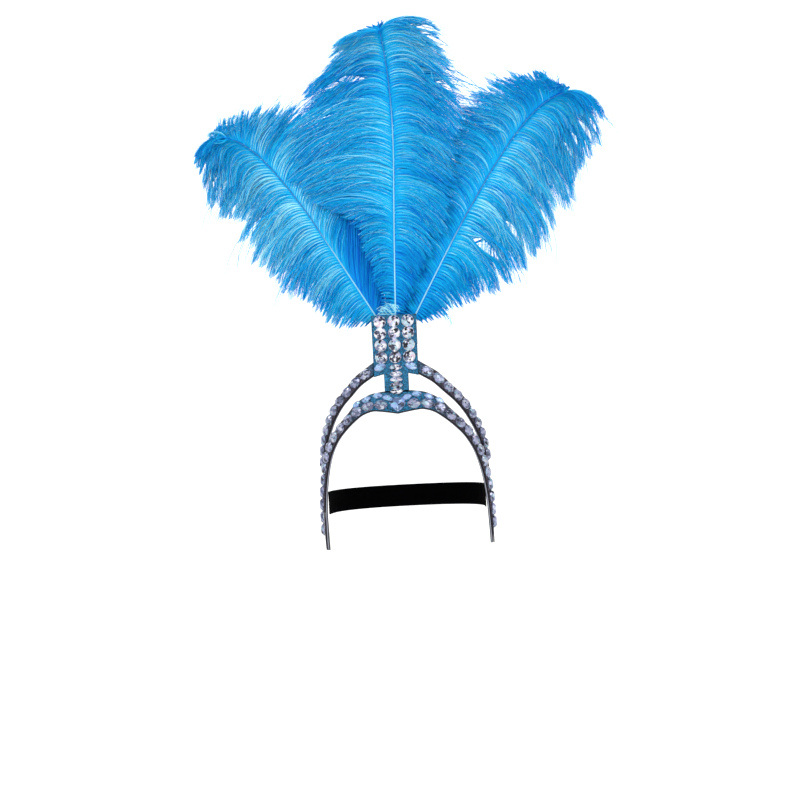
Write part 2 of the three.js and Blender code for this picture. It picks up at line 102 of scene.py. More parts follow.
def toWorld(points):
    x, y, z = np.moveaxis(np.asarray(points), -1, 0)
    y, z = y * leanCos + z * leanSin + postPlane["y"], z * leanCos - y * leanSin + postPlane["z"]
    return np.stack([x, y, z], -1)


def fromWorld(points):
    x, y, z = np.moveaxis(np.asarray(points), -1, 0)
    y, z = y - postPlane["y"], z - postPlane["z"]
    return np.stack([x, y * leanCos - z * leanSin, y * leanSin + z * leanCos], -1)


# The point of the picture at a depth behind the post
def planePoint(px, py, depth):
    px, py, depth = (np.asarray(v, float) for v in (px, py, depth))
    middle = view["side"] / 2
    ray = (
        cameraForward * view["focal"]
        + (px - middle - view["shift"])[..., None] * cameraRight
        - (py - middle)[..., None] * cameraUp
    )
    start = fromWorld(eye)
    step = fromWorld(eye + ray) - start
    share = (depth - start[1]) / step[..., 1]
    return start + step * share[..., None]


def deselectAll():
    for o in bpy.context.selected_objects:
        o.select_set(False)
    bpy.context.view_layer.objects.active = None


def addPiece(name, mesh, material, smooth):
    mesh.polygons.foreach_set("use_smooth", np.full(len(mesh.polygons), smooth))
    mesh.update(calc_edges=True)
    mesh.materials.append(material)
    piece = bpy.data.objects.new(name, mesh)
    bpy.context.scene.collection.objects.link(piece)
    return piece


# For many faces with the same number of corners
def meshPiece(name, vertices, faces, material):
    mesh = bpy.data.meshes.new(name)
    vertices = np.asarray(vertices, np.float32)
    faces = np.asarray(faces, np.int32)
    mesh.vertices.add(len(vertices))
    mesh.vertices.foreach_set("co", (vertices * mm).ravel())
    size = faces.shape[1]
    mesh.loops.add(faces.size)
    mesh.loops.foreach_set("vertex_index", faces.ravel())
    mesh.polygons.add(len(faces))
    mesh.polygons.foreach_set("loop_start", np.arange(0, faces.size, size, dtype=np.int32))
    return addPiece(name, mesh, material, True)


def solidPiece(name, vertices, faces, material, smooth=True):
    mesh = bpy.data.meshes.new(name)
    mesh.from_pydata([tuple(v) for v in np.asarray(vertices) * mm], [], faces)
    return addPiece(name, mesh, material, smooth)


def paintPoints(piece, name, colours, domain="POINT"):
    layer = piece.data.color_attributes.new(name, "FLOAT_COLOR", domain)
    rgba = np.ones((len(colours), 4), np.float32)
    rgba[:, :3] = colours
    layer.data.foreach_set("color", rgba.ravel())


def linear(red, green, blue):
    c = np.array([red, green, blue]) / 255.0
    return np.where(c <= 0.04045, c / 12.92, ((c + 0.055) / 1.055) ** 2.4)


def newMaterial(name, **values):
    material = bpy.data.materials.new(name)
    material.use_nodes = True
    shader = material.node_tree.nodes["Principled BSDF"]
    for key, value in values.items():
        shader.inputs[key].default_value = value
    return material, material.node_tree, shader


def addNode(tree, kind, values=None, **settings):
    node = tree.nodes.new(kind)
    for key, value in settings.items():
        setattr(node, key, value)
    for key, value in (values or {}).items():
        node.inputs[key].default_value = value
    return node


# Noise over the piece's own coordinates, which are in metres, so a scale is in features to a metre
def addNoise(tree, scale, detail, stretch=(1, 1, 1)):
    place = addNode(tree, "ShaderNodeTexCoord")
    mapping = addNode(tree, "ShaderNodeMapping", {"Scale": stretch})
    noise = addNode(tree, "ShaderNodeTexNoise", {"Scale": scale, "Detail": detail})
    tree.links.new(place.outputs["Object"], mapping.inputs["Vector"])
    tree.links.new(mapping.outputs["Vector"], noise.inputs["Vector"])
    return noise


def addCells(tree, scale):
    place = addNode(tree, "ShaderNodeTexCoord")
    cells = addNode(tree, "ShaderNodeTexVoronoi", {"Scale": scale})
    tree.links.new(place.outputs["Object"], cells.inputs["Vector"])
    return cells


def addRamp(tree, source, stops):
    ramp = addNode(tree, "ShaderNodeValToRGB")
    while len(ramp.color_ramp.elements) < len(stops):
        ramp.color_ramp.elements.new(0.5)
    for element, (place, colour) in zip(ramp.color_ramp.elements, stops):
        element.position = place
        element.color = (*colour, 1)
    tree.links.new(source, ramp.inputs["Fac"])
    return ramp.outputs["Color"]


def addMix(tree, blend, factor, first, second):
    mix = addNode(tree, "ShaderNodeMix", data_type="RGBA", blend_type=blend)
    for name, source in {"Factor": factor, "A": first, "B": second}.items():
        if isinstance(source, (float, tuple)):
            mix.inputs[name].default_value = source
        else:
            tree.links.new(source, mix.inputs[name])
    return mix.outputs["Result"]


def addRange(tree, source, low, high):
    shift = addNode(tree, "ShaderNodeMapRange", {"To Min": low, "To Max": high})
    tree.links.new(source, shift.inputs["Value"])
    return shift.outputs["Result"]


def addBump(tree, shader, height, strength, distance):
    bump = addNode(tree, "ShaderNodeBump", {"Strength": strength, "Distance": distance})
    tree.links.new(height, bump.inputs["Height"])
    tree.links.new(bump.outputs["Normal"], shader.inputs["Normal"])


def finishPiece(piece, slot, *nodes):
    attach(piece, "root")
    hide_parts(*nodes)
    return piece


def unit(v):
    return v / np.maximum(np.linalg.norm(v, axis=-1, keepdims=True), 1e-9)


# What a plume holds, in mm and degrees where nothing else is said:
# start, twist: where its quill begins behind the post, and how far the plume turns about it
# cup, webReach, hook: for each side, how far back the tips lie, the share of the barbs' length that
#   the web behind them fills, and how much of the hook near the quill's end they take
# quillEnd, paleUntil: shares of the quill, where it ends and where its pale part ends
# quill: distance along it, lean and curl there, the same as the frame's
# left, right: a row for a barb, with where along the quill it leaves, its tip in pixels of the
#   picture, its arch as a share of its length, and its tone from -1, deep, to 1, pale. Besides the
#   barbs' own colour the tone holds painted shade in the deepest rows, where a vane lies behind
#   another, and painted light on the crests, against the shade of their stacked layers
# gaps: middle, half length and half width in pixels of the picture, and turn
# wisps: as a barb, with its curl and its number of strands before its tone
plumes = {}
plumes["left"] = {
    "start": (-4.7, 10.6, 72.0),
    "twist": 8.0,
    "cup": {"left": 9.0, "right": 4.0},
    "webReach": {"left": 0.8, "right": 0.88},
    "hook": {"left": 0.0, "right": 1.0},
    "seed": 11,
    "quillEnd": 0.86,
    "paleUntil": 0.5,
    "quill": [
        (0, -30.5, 0), (150, -31, 2), (185, -35, 6), (236, -41, 18),
        (262, -56, 32), (292, -87, 48), (326, -126, 60),
    ],
    "left": [
        (30, 366, 327, 0.05, 0.1),
        (37.5, 355, 326, 0.1, 0.1),
        (57.25, 336, 323, 0.16, 0.1),
        (85.5, 316, 311, 0.2, 0.1),
        (114.5, 290, 291, 0.22, 0.3),
        (143.5, 268, 270, 0.24, 0.7),
        (169, 254, 250, 0.25, 0.8),
        (189.75, 240, 225, 0.25, 0.8),
        (215.75, 224, 214, 0.26, 0.8),
        (242.25, 212, 204, 0.3, 0.5),
        (260.25, 205, 192, 0.34, 0.5),
        (272, 202, 174, 0.4, 0.4),
        (280.5, 197, 160, 0.42, -0.2),
        (289.5, 198, 154, 0.3, -0.4),
    ],
    "right": [
        # Tones of -1.3 are painted shade, where this vane lies behind the centre plume
        (26.25, 392, 309, 0.03, -1.3),
        (28.75, 388, 298, 0.03, -1.3),
        (30, 385, 280, 0.03, -1.3),
        (31.5, 383, 257, 0.03, -1.3),
        (33.25, 379, 237, 0.03, -1.3),
        (37.5, 374, 221, 0.04, -1.3),
        (45.5, 368, 211, 0.05, -1.3),
        (54.75, 361, 204, 0.06, -1.3),
        (69.75, 351, 201, 0.07, -1.3),
        (88, 347, 195, 0.09, -0.6),
        (114, 341, 186, 0.13, 0.2),
        (143.5, 333, 175, 0.16, 0.5),
        (169, 327, 162, 0.18, 0.5),
        (189.75, 321, 144, 0.18, 0.5),
        (215.75, 311, 124, 0.16, 0.6),
        (230.25, 298, 111, 0.14, 0.6),
        (243.75, 281, 107, 0.12, 0.6),
        (256.5, 264, 107, 0.1, 0.5),
        (266, 249, 112, 0.1, 0.3),
        (272, 236, 116, 0.1, 0.2),
        (278, 223, 123, 0.22, 0.1),
        (284.75, 214, 131, 0.28, 0),
        (289.5, 207, 140, 0.3, -0.1),
    ],
    "gaps": [
        (207, 187, 17, 1.9, 104),
        (215, 178, 14, 1.6, 106),
        (203, 172, 10, 1.5, 106),
        (222, 190, 13, 1.6, 114),
        (232, 212, 12, 1.6, 122),
        (253, 228, 15, 1.7, 125),
        (279, 281, 12, 1.6, 130),
    ],
    "wisps": [
        (256.5, 262, 103, 0.12, 2.5, 7, -0.3),
        (243.75, 280, 103, 0.14, 2, 7, -0.3),
        (230.25, 296, 101, 0.16, 3, 7, -0.3),
        (215.75, 306, 104, 0.16, 3, 6, -0.3),
        (266, 245, 106, 0.15, 2, 5, -0.3),
        (280.5, 220, 118, 0.25, 1, 5, -0.3),
        (215.75, 214, 222, 0.26, 1, 6, -0.3),
        (169, 243, 262, 0.25, 1, 6, -0.3),
        (114.5, 281, 303, 0.22, 1, 6, -0.3),
        (47, 347, 330, 0.14, 1, 8, -0.3),
    ],
}
plumes["centre"] = {
    "start": (1.2, 4.0, 72.0),
    "twist": 0.0,
    "cup": {"left": 0.5, "right": 0.5},
    "webReach": {"left": 0.86, "right": 0.86},
    "hook": {"left": 0.0, "right": 0.0},
    "seed": 12,
    "quillEnd": 0.93,
    "paleUntil": 0.78,
    "quill": [
        (0, 1.2, 0), (180, 2.4, 0), (220, 0.6, 6), (260, -2, 14),
        (298, -5, 28), (330, -7, 50), (362, -7, 80),
    ],
    "left": [
        (20.25, 380, 322, 0.05, -0.4),
        (25.25, 379, 316, 0.05, -0.4),
        (32.75, 381, 307, 0.1, -0.4),
        (43.5, 381, 296, 0.15, -0.4),
        (58.75, 377, 287, 0.22, -0.4),
        (86.75, 369, 260, 0.26, -0.3),
        (112.75, 361, 234, 0.28, -0.1),
        (123.75, 347, 218, 0.27, 0),
        (133.5, 322, 206, 0.24, 0),
        (146.5, 304, 200, 0.21, 0),
        (169.5, 299, 187, 0.2, 0.1),
        (204.25, 298, 170, 0.22, 0.2),
        (220.5, 295, 150, 0.24, 0.1),
        (239, 296, 131, 0.26, 0),
        (258.25, 302, 112, 0.26, 0),
        (274.5, 310, 96, 0.25, 0),
        (288.5, 318, 83, 0.25, 0),
        (301.75, 326, 70, 0.25, 0.5),
        (313.25, 331, 58, 0.24, 0.5),
        (324, 334, 50, 0.22, 0.5),
        (332.25, 338, 45, 0.2, 0.4),
        (334.75, 346, 38, 0.15, 0.2),
        (335.75, 356, 31, 0.12, 0),
        (336.5, 366, 26.5, 0.08, -0.3),
        (337, 376, 22.3, 0.04, -0.7),
        (337.75, 387, 18, 0.02, -0.7),
    ],
    "right": [
        (20.25, 405, 322, 0.05, -0.9),
        (25.25, 405, 316, 0.05, -0.9),
        (32.75, 405, 311, 0.08, -0.9),
        (43.5, 406, 304, 0.1, -0.9),
        (58.75, 410, 297, 0.15, -0.8),
        (86.75, 420, 276, 0.2, -0.7),
        (115, 430, 252, 0.2, -0.2),
        (141, 438, 228, 0.2, -0.1),
        (160.75, 444, 208, 0.2, -0.1),
        (182.5, 448, 188, 0.21, -0.1),
        (204.25, 452, 169, 0.22, 0.1),
        (220.5, 455, 152, 0.24, 0),
        (239, 457, 134, 0.26, 0),
        (258.25, 459, 114, 0.26, 0),
        (274.5, 454, 97, 0.26, 0.1),
        (288.5, 450, 81, 0.26, 0.2),
        (301.75, 447, 65, 0.25, 0.6),
        (313.25, 443, 50, 0.24, 0.6),
        (323, 439, 38, 0.23, 0.5),
        (330.75, 431, 24, 0.22, 0.4),
        (333.75, 429, 20, 0.22, 0.2),
        (335.75, 425, 18, 0.22, 0),
        (337.75, 412, 17, 0.2, -0.2),
    ],
    "gaps": [
        (350, 78.5, 14, 3.4, -3),
        (332, 85.5, 9, 2.6, -28),
        (424, 27, 14, 2.4, 12),
        (430, 36, 12, 1.7, 28),
        (437, 53, 9, 1.2, 40),
        (436, 78, 21, 2.9, 38),
    ],
    "wisps": [
        (20.75, 382, 309, 0.2, 2.5, 18, 1.4),
        (20.75, 386, 305, 0.2, 2.5, 16, 1.6),
        (20.75, 379, 312, 0.2, 2, 16, 1.3),
        (301.75, 443, 47, 0.28, 1.5, 12, -0.3),
        (293, 451, 62, 0.28, 1.5, 14, -0.3),
        (284.25, 455, 76, 0.28, 2, 12, -0.3),
        (274.5, 462, 87, 0.28, 2, 14, -0.3),
        (260.5, 472, 92, 0.3, 3, 12, -0.3),
        (249.75, 466, 103, 0.3, 3, 12, -0.3),
        (258.25, 468, 124, 0.3, 1, 6, -0.3),
        (204.25, 462, 172, 0.24, 1, 6, -0.3),
        (324, 443, 36, 0.26, 1, 6, -0.3),
        (258.25, 291, 121, 0.27, 1, 6, -0.3),
        (228.25, 286, 148, 0.25, 1, 6, -0.3),
        (288.5, 309, 90, 0.26, 1, 5, -0.3),
        (204.25, 289, 176, 0.23, 1, 6, -0.3),
    ],
}
plumes["right"] = {
    "start": (9.0, 10.6, 72.0),
    "twist": -8.0,
    "cup": {"left": 4.0, "right": 9.0},
    "webReach": {"left": 0.88, "right": 0.8},
    "hook": {"left": 1.0, "right": 0.0},
    "seed": 13,
    "quillEnd": 0.87,
    "paleUntil": 0.42,
    "quill": [
        (0, 28.5, 0), (110, 29.5, 0), (150, 32, 2), (200, 34, 8),
        (248, 41, 18), (284, 52, 30), (318, 80, 42), (376, 126, 52),
    ],
    "left": [
        (21.5, 396, 316, 0.03, -0.9),
        (25.25, 397, 309, 0.03, -0.9),
        (28.75, 401, 300, 0.04, -0.9),
        (33.5, 403, 287, 0.06, -0.8),
        (47.75, 405, 280, 0.1, -0.7),
        (74, 410, 252, 0.14, -0.6),
        (101, 415, 225, 0.16, -0.5),
        (127.25, 422, 200, 0.18, -0.4),
        (147, 428, 180, 0.2, -0.1),
        (178.5, 436, 150, 0.22, -0.1),
        (204, 446, 126, 0.26, -0.1),
        (223, 456, 108, 0.3, 0),
        (236.5, 467, 97, 0.32, 0),
        (252.5, 483, 89, 0.3, 0),
        (264.75, 497, 81, 0.26, 0),
        (279.5, 513, 76, 0.2, -0.2),
        (292, 528, 74, 0.15, -0.4),
        (305, 541, 74, 0.12, -0.5),
        (314, 551, 79, 0.1, -0.6),
        (319.25, 560, 81, 0.08, -0.6),
        (324.75, 572, 86, 0.06, -0.6),
    ],
    "right": [
        (26.5, 422, 323, 0.05, -0.7),
        (32.5, 430, 321, 0.1, -0.7),
        (48.25, 445, 314, 0.15, -0.7),
        (73.5, 465, 305, 0.2, -0.5),
        (101.25, 488, 294, 0.22, -0.2),
        (133.5, 511, 272, 0.22, 0.2),
        (161.75, 525, 262, 0.22, 0.5),
        (190, 540, 242, 0.22, 0.5),
        (213.5, 556, 215, 0.23, 0.5),
        (236.5, 567, 200, 0.24, 0.4),
        (264.75, 577, 180, 0.25, 0.2),
        (285, 588, 158, 0.26, 0.2),
        (298.25, 596, 139, 0.28, 0.2),
        (310.25, 601, 122, 0.3, 0),
        (320.25, 605, 110, 0.32, -0.4),
    ],
    "gaps": [
        (485, 246, 17, 4.4, 40),
        (512, 228, 13, 2.7, 58),
        (543, 214, 10, 1.3, 60),
        (585, 128, 13, 2.0, 56),
        (594, 126, 10, 1.6, 60),
        (577, 141, 13, 1.8, 60),
        (568, 148, 11, 1.5, 60),
        (586, 146, 10, 1.5, 63),
    ],
    "wisps": [
        (204, 441, 116, 0.28, 3.5, 7, -0.3),
        (223, 449, 96, 0.32, 4, 8, -0.3),
        (236.5, 460, 88, 0.34, 4, 7, -0.3),
        (252.5, 491, 73, 0.3, 3, 6, -0.3),
        (264.75, 502, 70, 0.26, 3, 6, -0.3),
        (279.5, 512, 71, 0.22, 3, 6, -0.3),
        (297, 541, 71, 0.15, 3.5, 6, -0.3),
        (308, 558, 77, 0.12, 3, 6, -0.3),
        (300.75, 549, 73, 0.1, 3.5, 6, -0.3),
        (310.25, 609, 128, 0.32, 1, 6, -0.3),
        (190, 549, 254, 0.24, 1, 6, -0.3),
        (133.5, 520, 283, 0.22, 1, 6, -0.3),
        (48.25, 448, 322, 0.2, 1.5, 7, -0.3),
        (59, 447, 326, 0.3, 1, 5, 0.9),
    ],
}
barbColumns = ("along", "toX", "toY", "arch", "tone")

barbs = {
    "strands": 7000,  # on each side of a quill
    "shares": (0, 0.04, 0.1, 0.2, 0.32, 0.46, 0.6, 0.74, 0.88, 1),
    "bends": (0.24, 0.70),  # where along a barb the inner points of its curve lie
    "cupSize": 70.0,  # barbs as long as this are cupped in full
    "rootLength": 3.0,  # over this the barbs leave the quill, close together and level
    "behindQuill": 0.9,
    "noise": {"length": 0.04, "arch": 0.025, "lift": 0.8},
    "shortShare": 0.6,
    "shortLength": (0.5, 0.98),
    "width": 0.55,
    "tipWidth": 0.24,
    "widthSpread": (0.7, 1.25),
    "edgeTilt": 62.0,
    "tiltNoise": 0.22,
    "wave": 0.16,
    "deepWave": 0.4,
}
# Strands outside any clump: their share, and how much more than the others they vary
stray = {"share": 0.06, "arch": 4, "lift": 3, "wave": 3, "lean": 0.3}
# The noise of clumps: the spread and reach of the part that neighbours share, and the clump's own
clumps = {
    "pitch": 3.3,
    "uneven": 0.12,
    "spread": (0.3, 1.2),  # how far apart strands start in a clump, and stray ones
    "halfWidth": 0.8,
    "rise": 0.9,
    "narrower": 0.7,  # by this share towards the tips
    "flatter": 0.4,
    "gather": (0.1, 0.78, 1.5),  # at the quill, what comes on top at the tip, and the power between
    "length": (0.04, 3, 0.035),
    "arch": (0.10, 6, 0.03),
    "lift": (1.6, 3),
    "tone": (0.035, 2, 0.035),
    "drift": 0.5,
}
clumpGroups = {"size": (3.0, 10.0), "lean": (0.0, 0.35), "length": 0.03, "start": (2.0, 4.0), "byTone": 1.4}
# Near the quill's end, from this share of it on, the tips curl over
hook = {
    "from": 0.76,
    "over": 0.08,
    "bend": 0.66,
    "turn": 9.0,
    "sideways": 0.7,
    "forwards": 0.5,
    "longer": 0.2,
    "looser": 0.7,
}
# In shades, edge paints each clump lighter along its upper edge and darker along its lower: painted highlight
# and painted shade
shades = {"middle": 0.5, "reach": 0.26, "noise": 0.14, "edge": 0.41, "tip": -0.14, "channel": -0.12}
channelWidth = 4.4
web = {
    "depth": 1.4,
    "width": 2.2,
    "pitch": 0.9,
    "segments": 12,
    "length": 0.96,
    "tilt": 24.0,
    "middle": 0.3,
    "noise": 0.22,
}
wisp = {
    "spread": (-3.0, 3.0),
    "cup": 2.0,
    "forwards": 1.5,
    "length": 0.1,
    "lift": 1.5,
    "arch": 0.25,
    "tuftArch": 1.3,
    "widths": (1.6, 1.5, 0.7),
}
# Deep to pale blue: the barbs' own colours, and at the ends the colours of their painted shade and painted
# highlights
toneColours = np.array([linear(*c) for c in ((0, 106, 210), (0, 160, 225), (16, 184, 231), (168, 236, 248))])
toneStops = np.array([0.0, 0.36, 0.68, 1.0])
forward = np.array([0.0, -1.0, 0.0])


# The columns of a table at the given places
def valuesAt(place, places, table):
    return np.stack([np.interp(place, places, table[:, c]) for c in range(table.shape[1])], -1)


def walkQuill(plume):
    table = np.array(plume["quill"], float)
    step = 0.25
    along = np.arange(0, table[-1, 0] + step, step)
    lean = np.radians(np.interp(along, table[:, 0], table[:, 1]))
    curl = np.radians(np.interp(along, table[:, 0], table[:, 2]))
    up = np.stack([np.sin(lean) * np.cos(curl), -np.sin(curl), np.cos(lean) * np.cos(curl)], -1)
    front = np.stack([-np.sin(lean) * np.sin(curl), -np.cos(curl), -np.cos(lean) * np.sin(curl)], -1)
    twist = math.radians(plume["twist"])
    front = front * math.cos(twist) + np.cross(up, front) * math.sin(twist)
    side = np.cross(up, front)
    place = np.array(plume["start"]) + np.concatenate([np.zeros((1, 3)), np.cumsum(up[:-1], 0) * step])
    return {"along": along, "place": place, "up": up, "front": front, "side": side}


def barbTable(rows):
    return dict(zip(barbColumns, np.array(rows, float).T))


# Clumps are spread evenly by a mean of the way along the quill and the way along the tips
def barbPace(table):
    step = 0.1
    fine = np.arange(table["along"][0], table["along"][-1], step)
    tip = np.stack([np.interp(fine, table["along"], table[name]) for name in ("toX", "toY")], -1)
    tipStep = np.linalg.norm(np.gradient(tip, axis=0), axis=1) * view["scale"]
    return np.cumsum(step + tipStep) / 2, fine


# Moves what lies over a gap in the picture to the gap's two sides
def openGaps(path, gaps):
    for x, y, halfLength, halfWidth, turn in gaps:
        cosine, sine = math.cos(math.radians(turn)), math.sin(math.radians(turn))
        seen = toPicture(toWorld(path)) - (x, y)
        lengthwise = seen[..., 0] * cosine + seen[..., 1] * sine
        crosswise = seen[..., 1] * cosine - seen[..., 0] * sine
        room = halfWidth * np.sqrt(np.clip(1 - (lengthwise / halfLength) ** 2, 0, 1))
        push = np.sign(crosswise) * np.maximum(0, room - np.abs(crosswise) / 2) * view["scale"]
        path[..., 0] -= sine * push
        path[..., 2] -= cosine * push


# Curves from the quill to the barbs' tips, with their directions across, their lengths and tones
def barbPaths(walk, table, along, shares, cup, length=1.0, arch=1.0, lift=0.0):
    def at(name):
        return np.interp(along, table["along"], table[name])

    start, up = (valuesAt(along, walk["along"], walk[name]) for name in ("place", "up"))
    reach = planePoint(at("toX"), at("toY"), start[:, 1])
    chord = (reach - start) * np.broadcast_to(length, along.shape)[:, None]
    size = np.linalg.norm(chord, axis=1)
    chord[:, 1] += cup * np.minimum(1, size / barbs["cupSize"]) ** 2 + lift
    flat = chord * [1, 0, 1]
    across = unit(np.stack([-flat[:, 2], np.zeros(len(flat)), flat[:, 0]], -1))
    across *= np.sign(np.sum(across * up, 1))[:, None]
    bulge = (at("arch") * arch * size)[:, None] * across
    second, third = (start + chord * bend + bulge for bend in barbs["bends"])
    s = shares[None, :, None]
    r = 1 - s
    a, b, c, d = (v[:, None, :] for v in (start, second, third, start + chord))
    path = a * r**3 + b * 3 * s * r**2 + c * 3 * s**2 * r + d * s**3
    return path, across, size, at("tone")


def ribbonFaces(count, rings):
    first = (np.arange(count) * rings * 2)[:, None] + np.arange(rings - 1)[None, :] * 2
    return np.stack([first, first + 1, first + 3, first + 2], -1).reshape(-1, 4)


def ribbons(path, width, facing):
    across = unit(np.cross(unit(np.gradient(path, axis=1)), facing))
    half = across * width[..., None] / 2
    return np.stack([path - half, path + half], 2).reshape(-1, 3)


def tilted(across, tilt):
    return forward * np.cos(tilt)[..., None] + across[:, None, :] * np.sin(tilt)[..., None]


def slowNoise(rng, count, spread, reach):
    rough = rng.normal(0, 1, count + 2 * reach)
    window = np.hanning(2 * reach + 1)
    return np.convolve(rough, window / np.sqrt(np.sum(window**2)), "valid") * spread


def clumpNoise(rng, count, spread, reach, ownSpread):
    return slowNoise(rng, count, spread, reach) + rng.normal(0, ownSpread, count)


# One side of a plume, and the groups of neighbouring clumps on it. A group leans together towards its
# tips, less so where the barbs are deep in tone
def makeSide(plume, key, rng):
    table = barbTable(plume[key])
    pace, fine = barbPace(table)
    edges = np.concatenate([[0], np.cumsum(rng.uniform(*clumpGroups["size"], 400))])
    edges = np.append(edges[edges < pace[-1]], pace[-1])
    middle = (edges[1:] + edges[:-1]) / 2
    tone = np.interp(np.interp(middle, pace, fine), table["along"], table["tone"])
    side = {name: plume[name][key] for name in ("cup", "webReach", "hook")}
    lean = rng.uniform(*clumpGroups["lean"], len(middle)) * np.clip(1 + clumpGroups["byTone"] * tone, 0, 1)
    length = 1 + rng.normal(0, clumpGroups["length"], len(middle))
    start = rng.uniform(*clumpGroups["start"], len(middle))
    side.update(table=table, pace=pace, fine=fine, gaps=plume["gaps"])
    side.update(edges=edges, middle=middle, lean=lean, length=length, start=start)
    return side


def alongAt(side, place):
    return np.interp(place, side["pace"], side["fine"])


def groupAt(side, place):
    return np.searchsorted(side["edges"], place, "right").clip(1, len(side["lean"])) - 1


def sidePaths(walk, side, place, shares, *shape):
    return barbPaths(walk, side["table"], alongAt(side, place), shares, side["cup"], *shape)


def leanTogether(walk, side, path, group, weight, shares, *shape):
    whole = sidePaths(walk, side, side["middle"][group], shares, *shape)[0]
    join = (weight * side["lean"][group])[:, None] * shares[None, :] ** side["start"][group][:, None]
    return path * (1 - join[..., None]) + whole * join[..., None]


def sideStrands(walk, side, rng):
    shares = np.array(barbs["shares"])
    s = shares[None, :]
    total = side["pace"][-1]
    clumpCount = int(total / clumps["pitch"])
    uneven = rng.uniform(-clumps["uneven"], clumps["uneven"], clumpCount)
    middle = (np.arange(clumpCount) + 0.5 + uneven) * total / clumpCount
    clump = {
        "length": 1 + clumpNoise(rng, clumpCount, *clumps["length"]).clip(-0.14, 0.08),
        "arch": 1 + clumpNoise(rng, clumpCount, *clumps["arch"]),
        "lift": slowNoise(rng, clumpCount, *clumps["lift"]),
        "tone": clumpNoise(rng, clumpCount, *clumps["tone"]),
        "drift": rng.normal(0, clumps["drift"], clumpCount),
    }
    count = barbs["strands"]
    own = rng.integers(0, clumpCount, count)
    free = rng.uniform(0, 1, count) < stray["share"]
    cross = rng.uniform(-1, 1, count)
    middle = middle[own]
    group = groupAt(side, middle)
    place = middle + cross * clumps["pitch"] * np.where(free, clumps["spread"][1], clumps["spread"][0])
    noise = barbs["noise"]
    length = clump["length"][own] * side["length"][group]
    length = length * (1 + rng.normal(0, noise["length"], count).clip(-0.2, 0.1))
    short = rng.uniform(0, 1, count) < barbs["shortShare"]
    length *= np.where(short, rng.uniform(*barbs["shortLength"], count), 1)
    share = alongAt(side, place) / walk["along"][-1]
    hooked = side["hook"] * np.clip((share - hook["from"]) / hook["over"], 0, 1)
    length *= 1 + hook["longer"] * hooked
    arch = clump["arch"][own] * (1 + rng.normal(0, noise["arch"], count) * np.where(free, stray["arch"], 1))
    lift = clump["lift"][own] + rng.normal(0, noise["lift"], count) * np.where(free, stray["lift"], 1)
    shape = (shares, length, arch, lift)
    path, across, size, tone = sidePaths(walk, side, place, *shape)

    # The strands of a clump draw together, and clumps lean with their group
    loose = 1 - hook["looser"] * hooked
    atQuill, atTip, power = clumps["gather"]
    gather = (np.where(free, 0.0, 1.0) * loose)[:, None] * (atQuill + atTip * s**power)
    path = path * (1 - gather[..., None]) + sidePaths(walk, side, middle, *shape)[0] * gather[..., None]
    path = leanTogether(walk, side, path, group, np.where(free, stray["lean"], 1.0) * loose, *shape)

    # The hook goes forwards and back down
    turned = hooked[:, None] * rng.uniform(0.4, 1.0, count)[:, None]
    turned = turned * np.clip((s - hook["bend"]) / (1 - hook["bend"]), 0, 1) ** 1.6
    outwards = unit(path[:, -4] - path[:, 0])[:, None, :]
    sideways = (rng.normal(0, 0.8, clumpCount)[own] + rng.normal(0, 0.3, count))[:, None]
    path -= outwards * (hook["turn"] * turned)[..., None]
    path += across[:, None, :] * (hook["turn"] * hook["sideways"] * turned * sideways)[..., None]
    path[..., 1] -= hook["turn"] * hook["forwards"] * turned
    fan = clumps["halfWidth"] * cross[:, None] * (1 - clumps["narrower"] * s)
    drift = clump["drift"][own][:, None] * s**2.4
    path += across[:, None, :] * (fan + drift)[..., None]
    near = np.exp(-s * size[:, None] / barbs["rootLength"])
    hump = np.sqrt(np.maximum(0, 1 - cross**2))[:, None] * clumps["rise"] * (1 - clumps["flatter"] * s)
    path[..., 1] += barbs["behindQuill"] * near - hump * (1 - near)

    # A little wave in each strand
    phase = rng.uniform(0, 2 * np.pi, (count, 2))
    sway = np.sin(s * rng.uniform(4, 9, count)[:, None] + phase[:, :1]) - np.sin(phase[:, :1])
    more = np.where(free, stray["wave"], 1)[:, None]
    path += across[:, None, :] * (barbs["wave"] * sway * s * more)[..., None]
    sway = np.sin(s * rng.uniform(3, 8, count)[:, None] + phase[:, 1:]) - np.sin(phase[:, 1:])
    path[..., 1] += barbs["deepWave"] * sway * s
    openGaps(path, side["gaps"])

    tilt = np.radians(barbs["edgeTilt"]) * cross + rng.normal(0, barbs["tiltNoise"], count)
    tilt = tilt[:, None] * (1 - near)
    taper = np.interp(shares, [0, 0.08, 0.6, 1], [0.9, 1, 0.8, barbs["tipWidth"] / barbs["width"]])
    width = barbs["width"] * taper[None, :] * rng.uniform(*barbs["widthSpread"], count)[:, None]
    points = ribbons(path, width, tilted(across, tilt))
    shade = clump["tone"][own] + rng.normal(0, shades["noise"], count)
    # Painted highlight on each clump's upper edge and painted shade on its lower edge
    shade += shades["edge"] * cross * (1 + 0.5 * tone)
    shade = shades["middle"] + shades["reach"] * tone[:, None] + shade[:, None] * (1 - near)
    shade += shades["tip"] * (s - 0.4) * (1 - near)
    shade += shades["channel"] * np.exp(-((s * size[:, None] / channelWidth) ** 2))
    return points, np.repeat(shade, 2, axis=1).ravel(), count


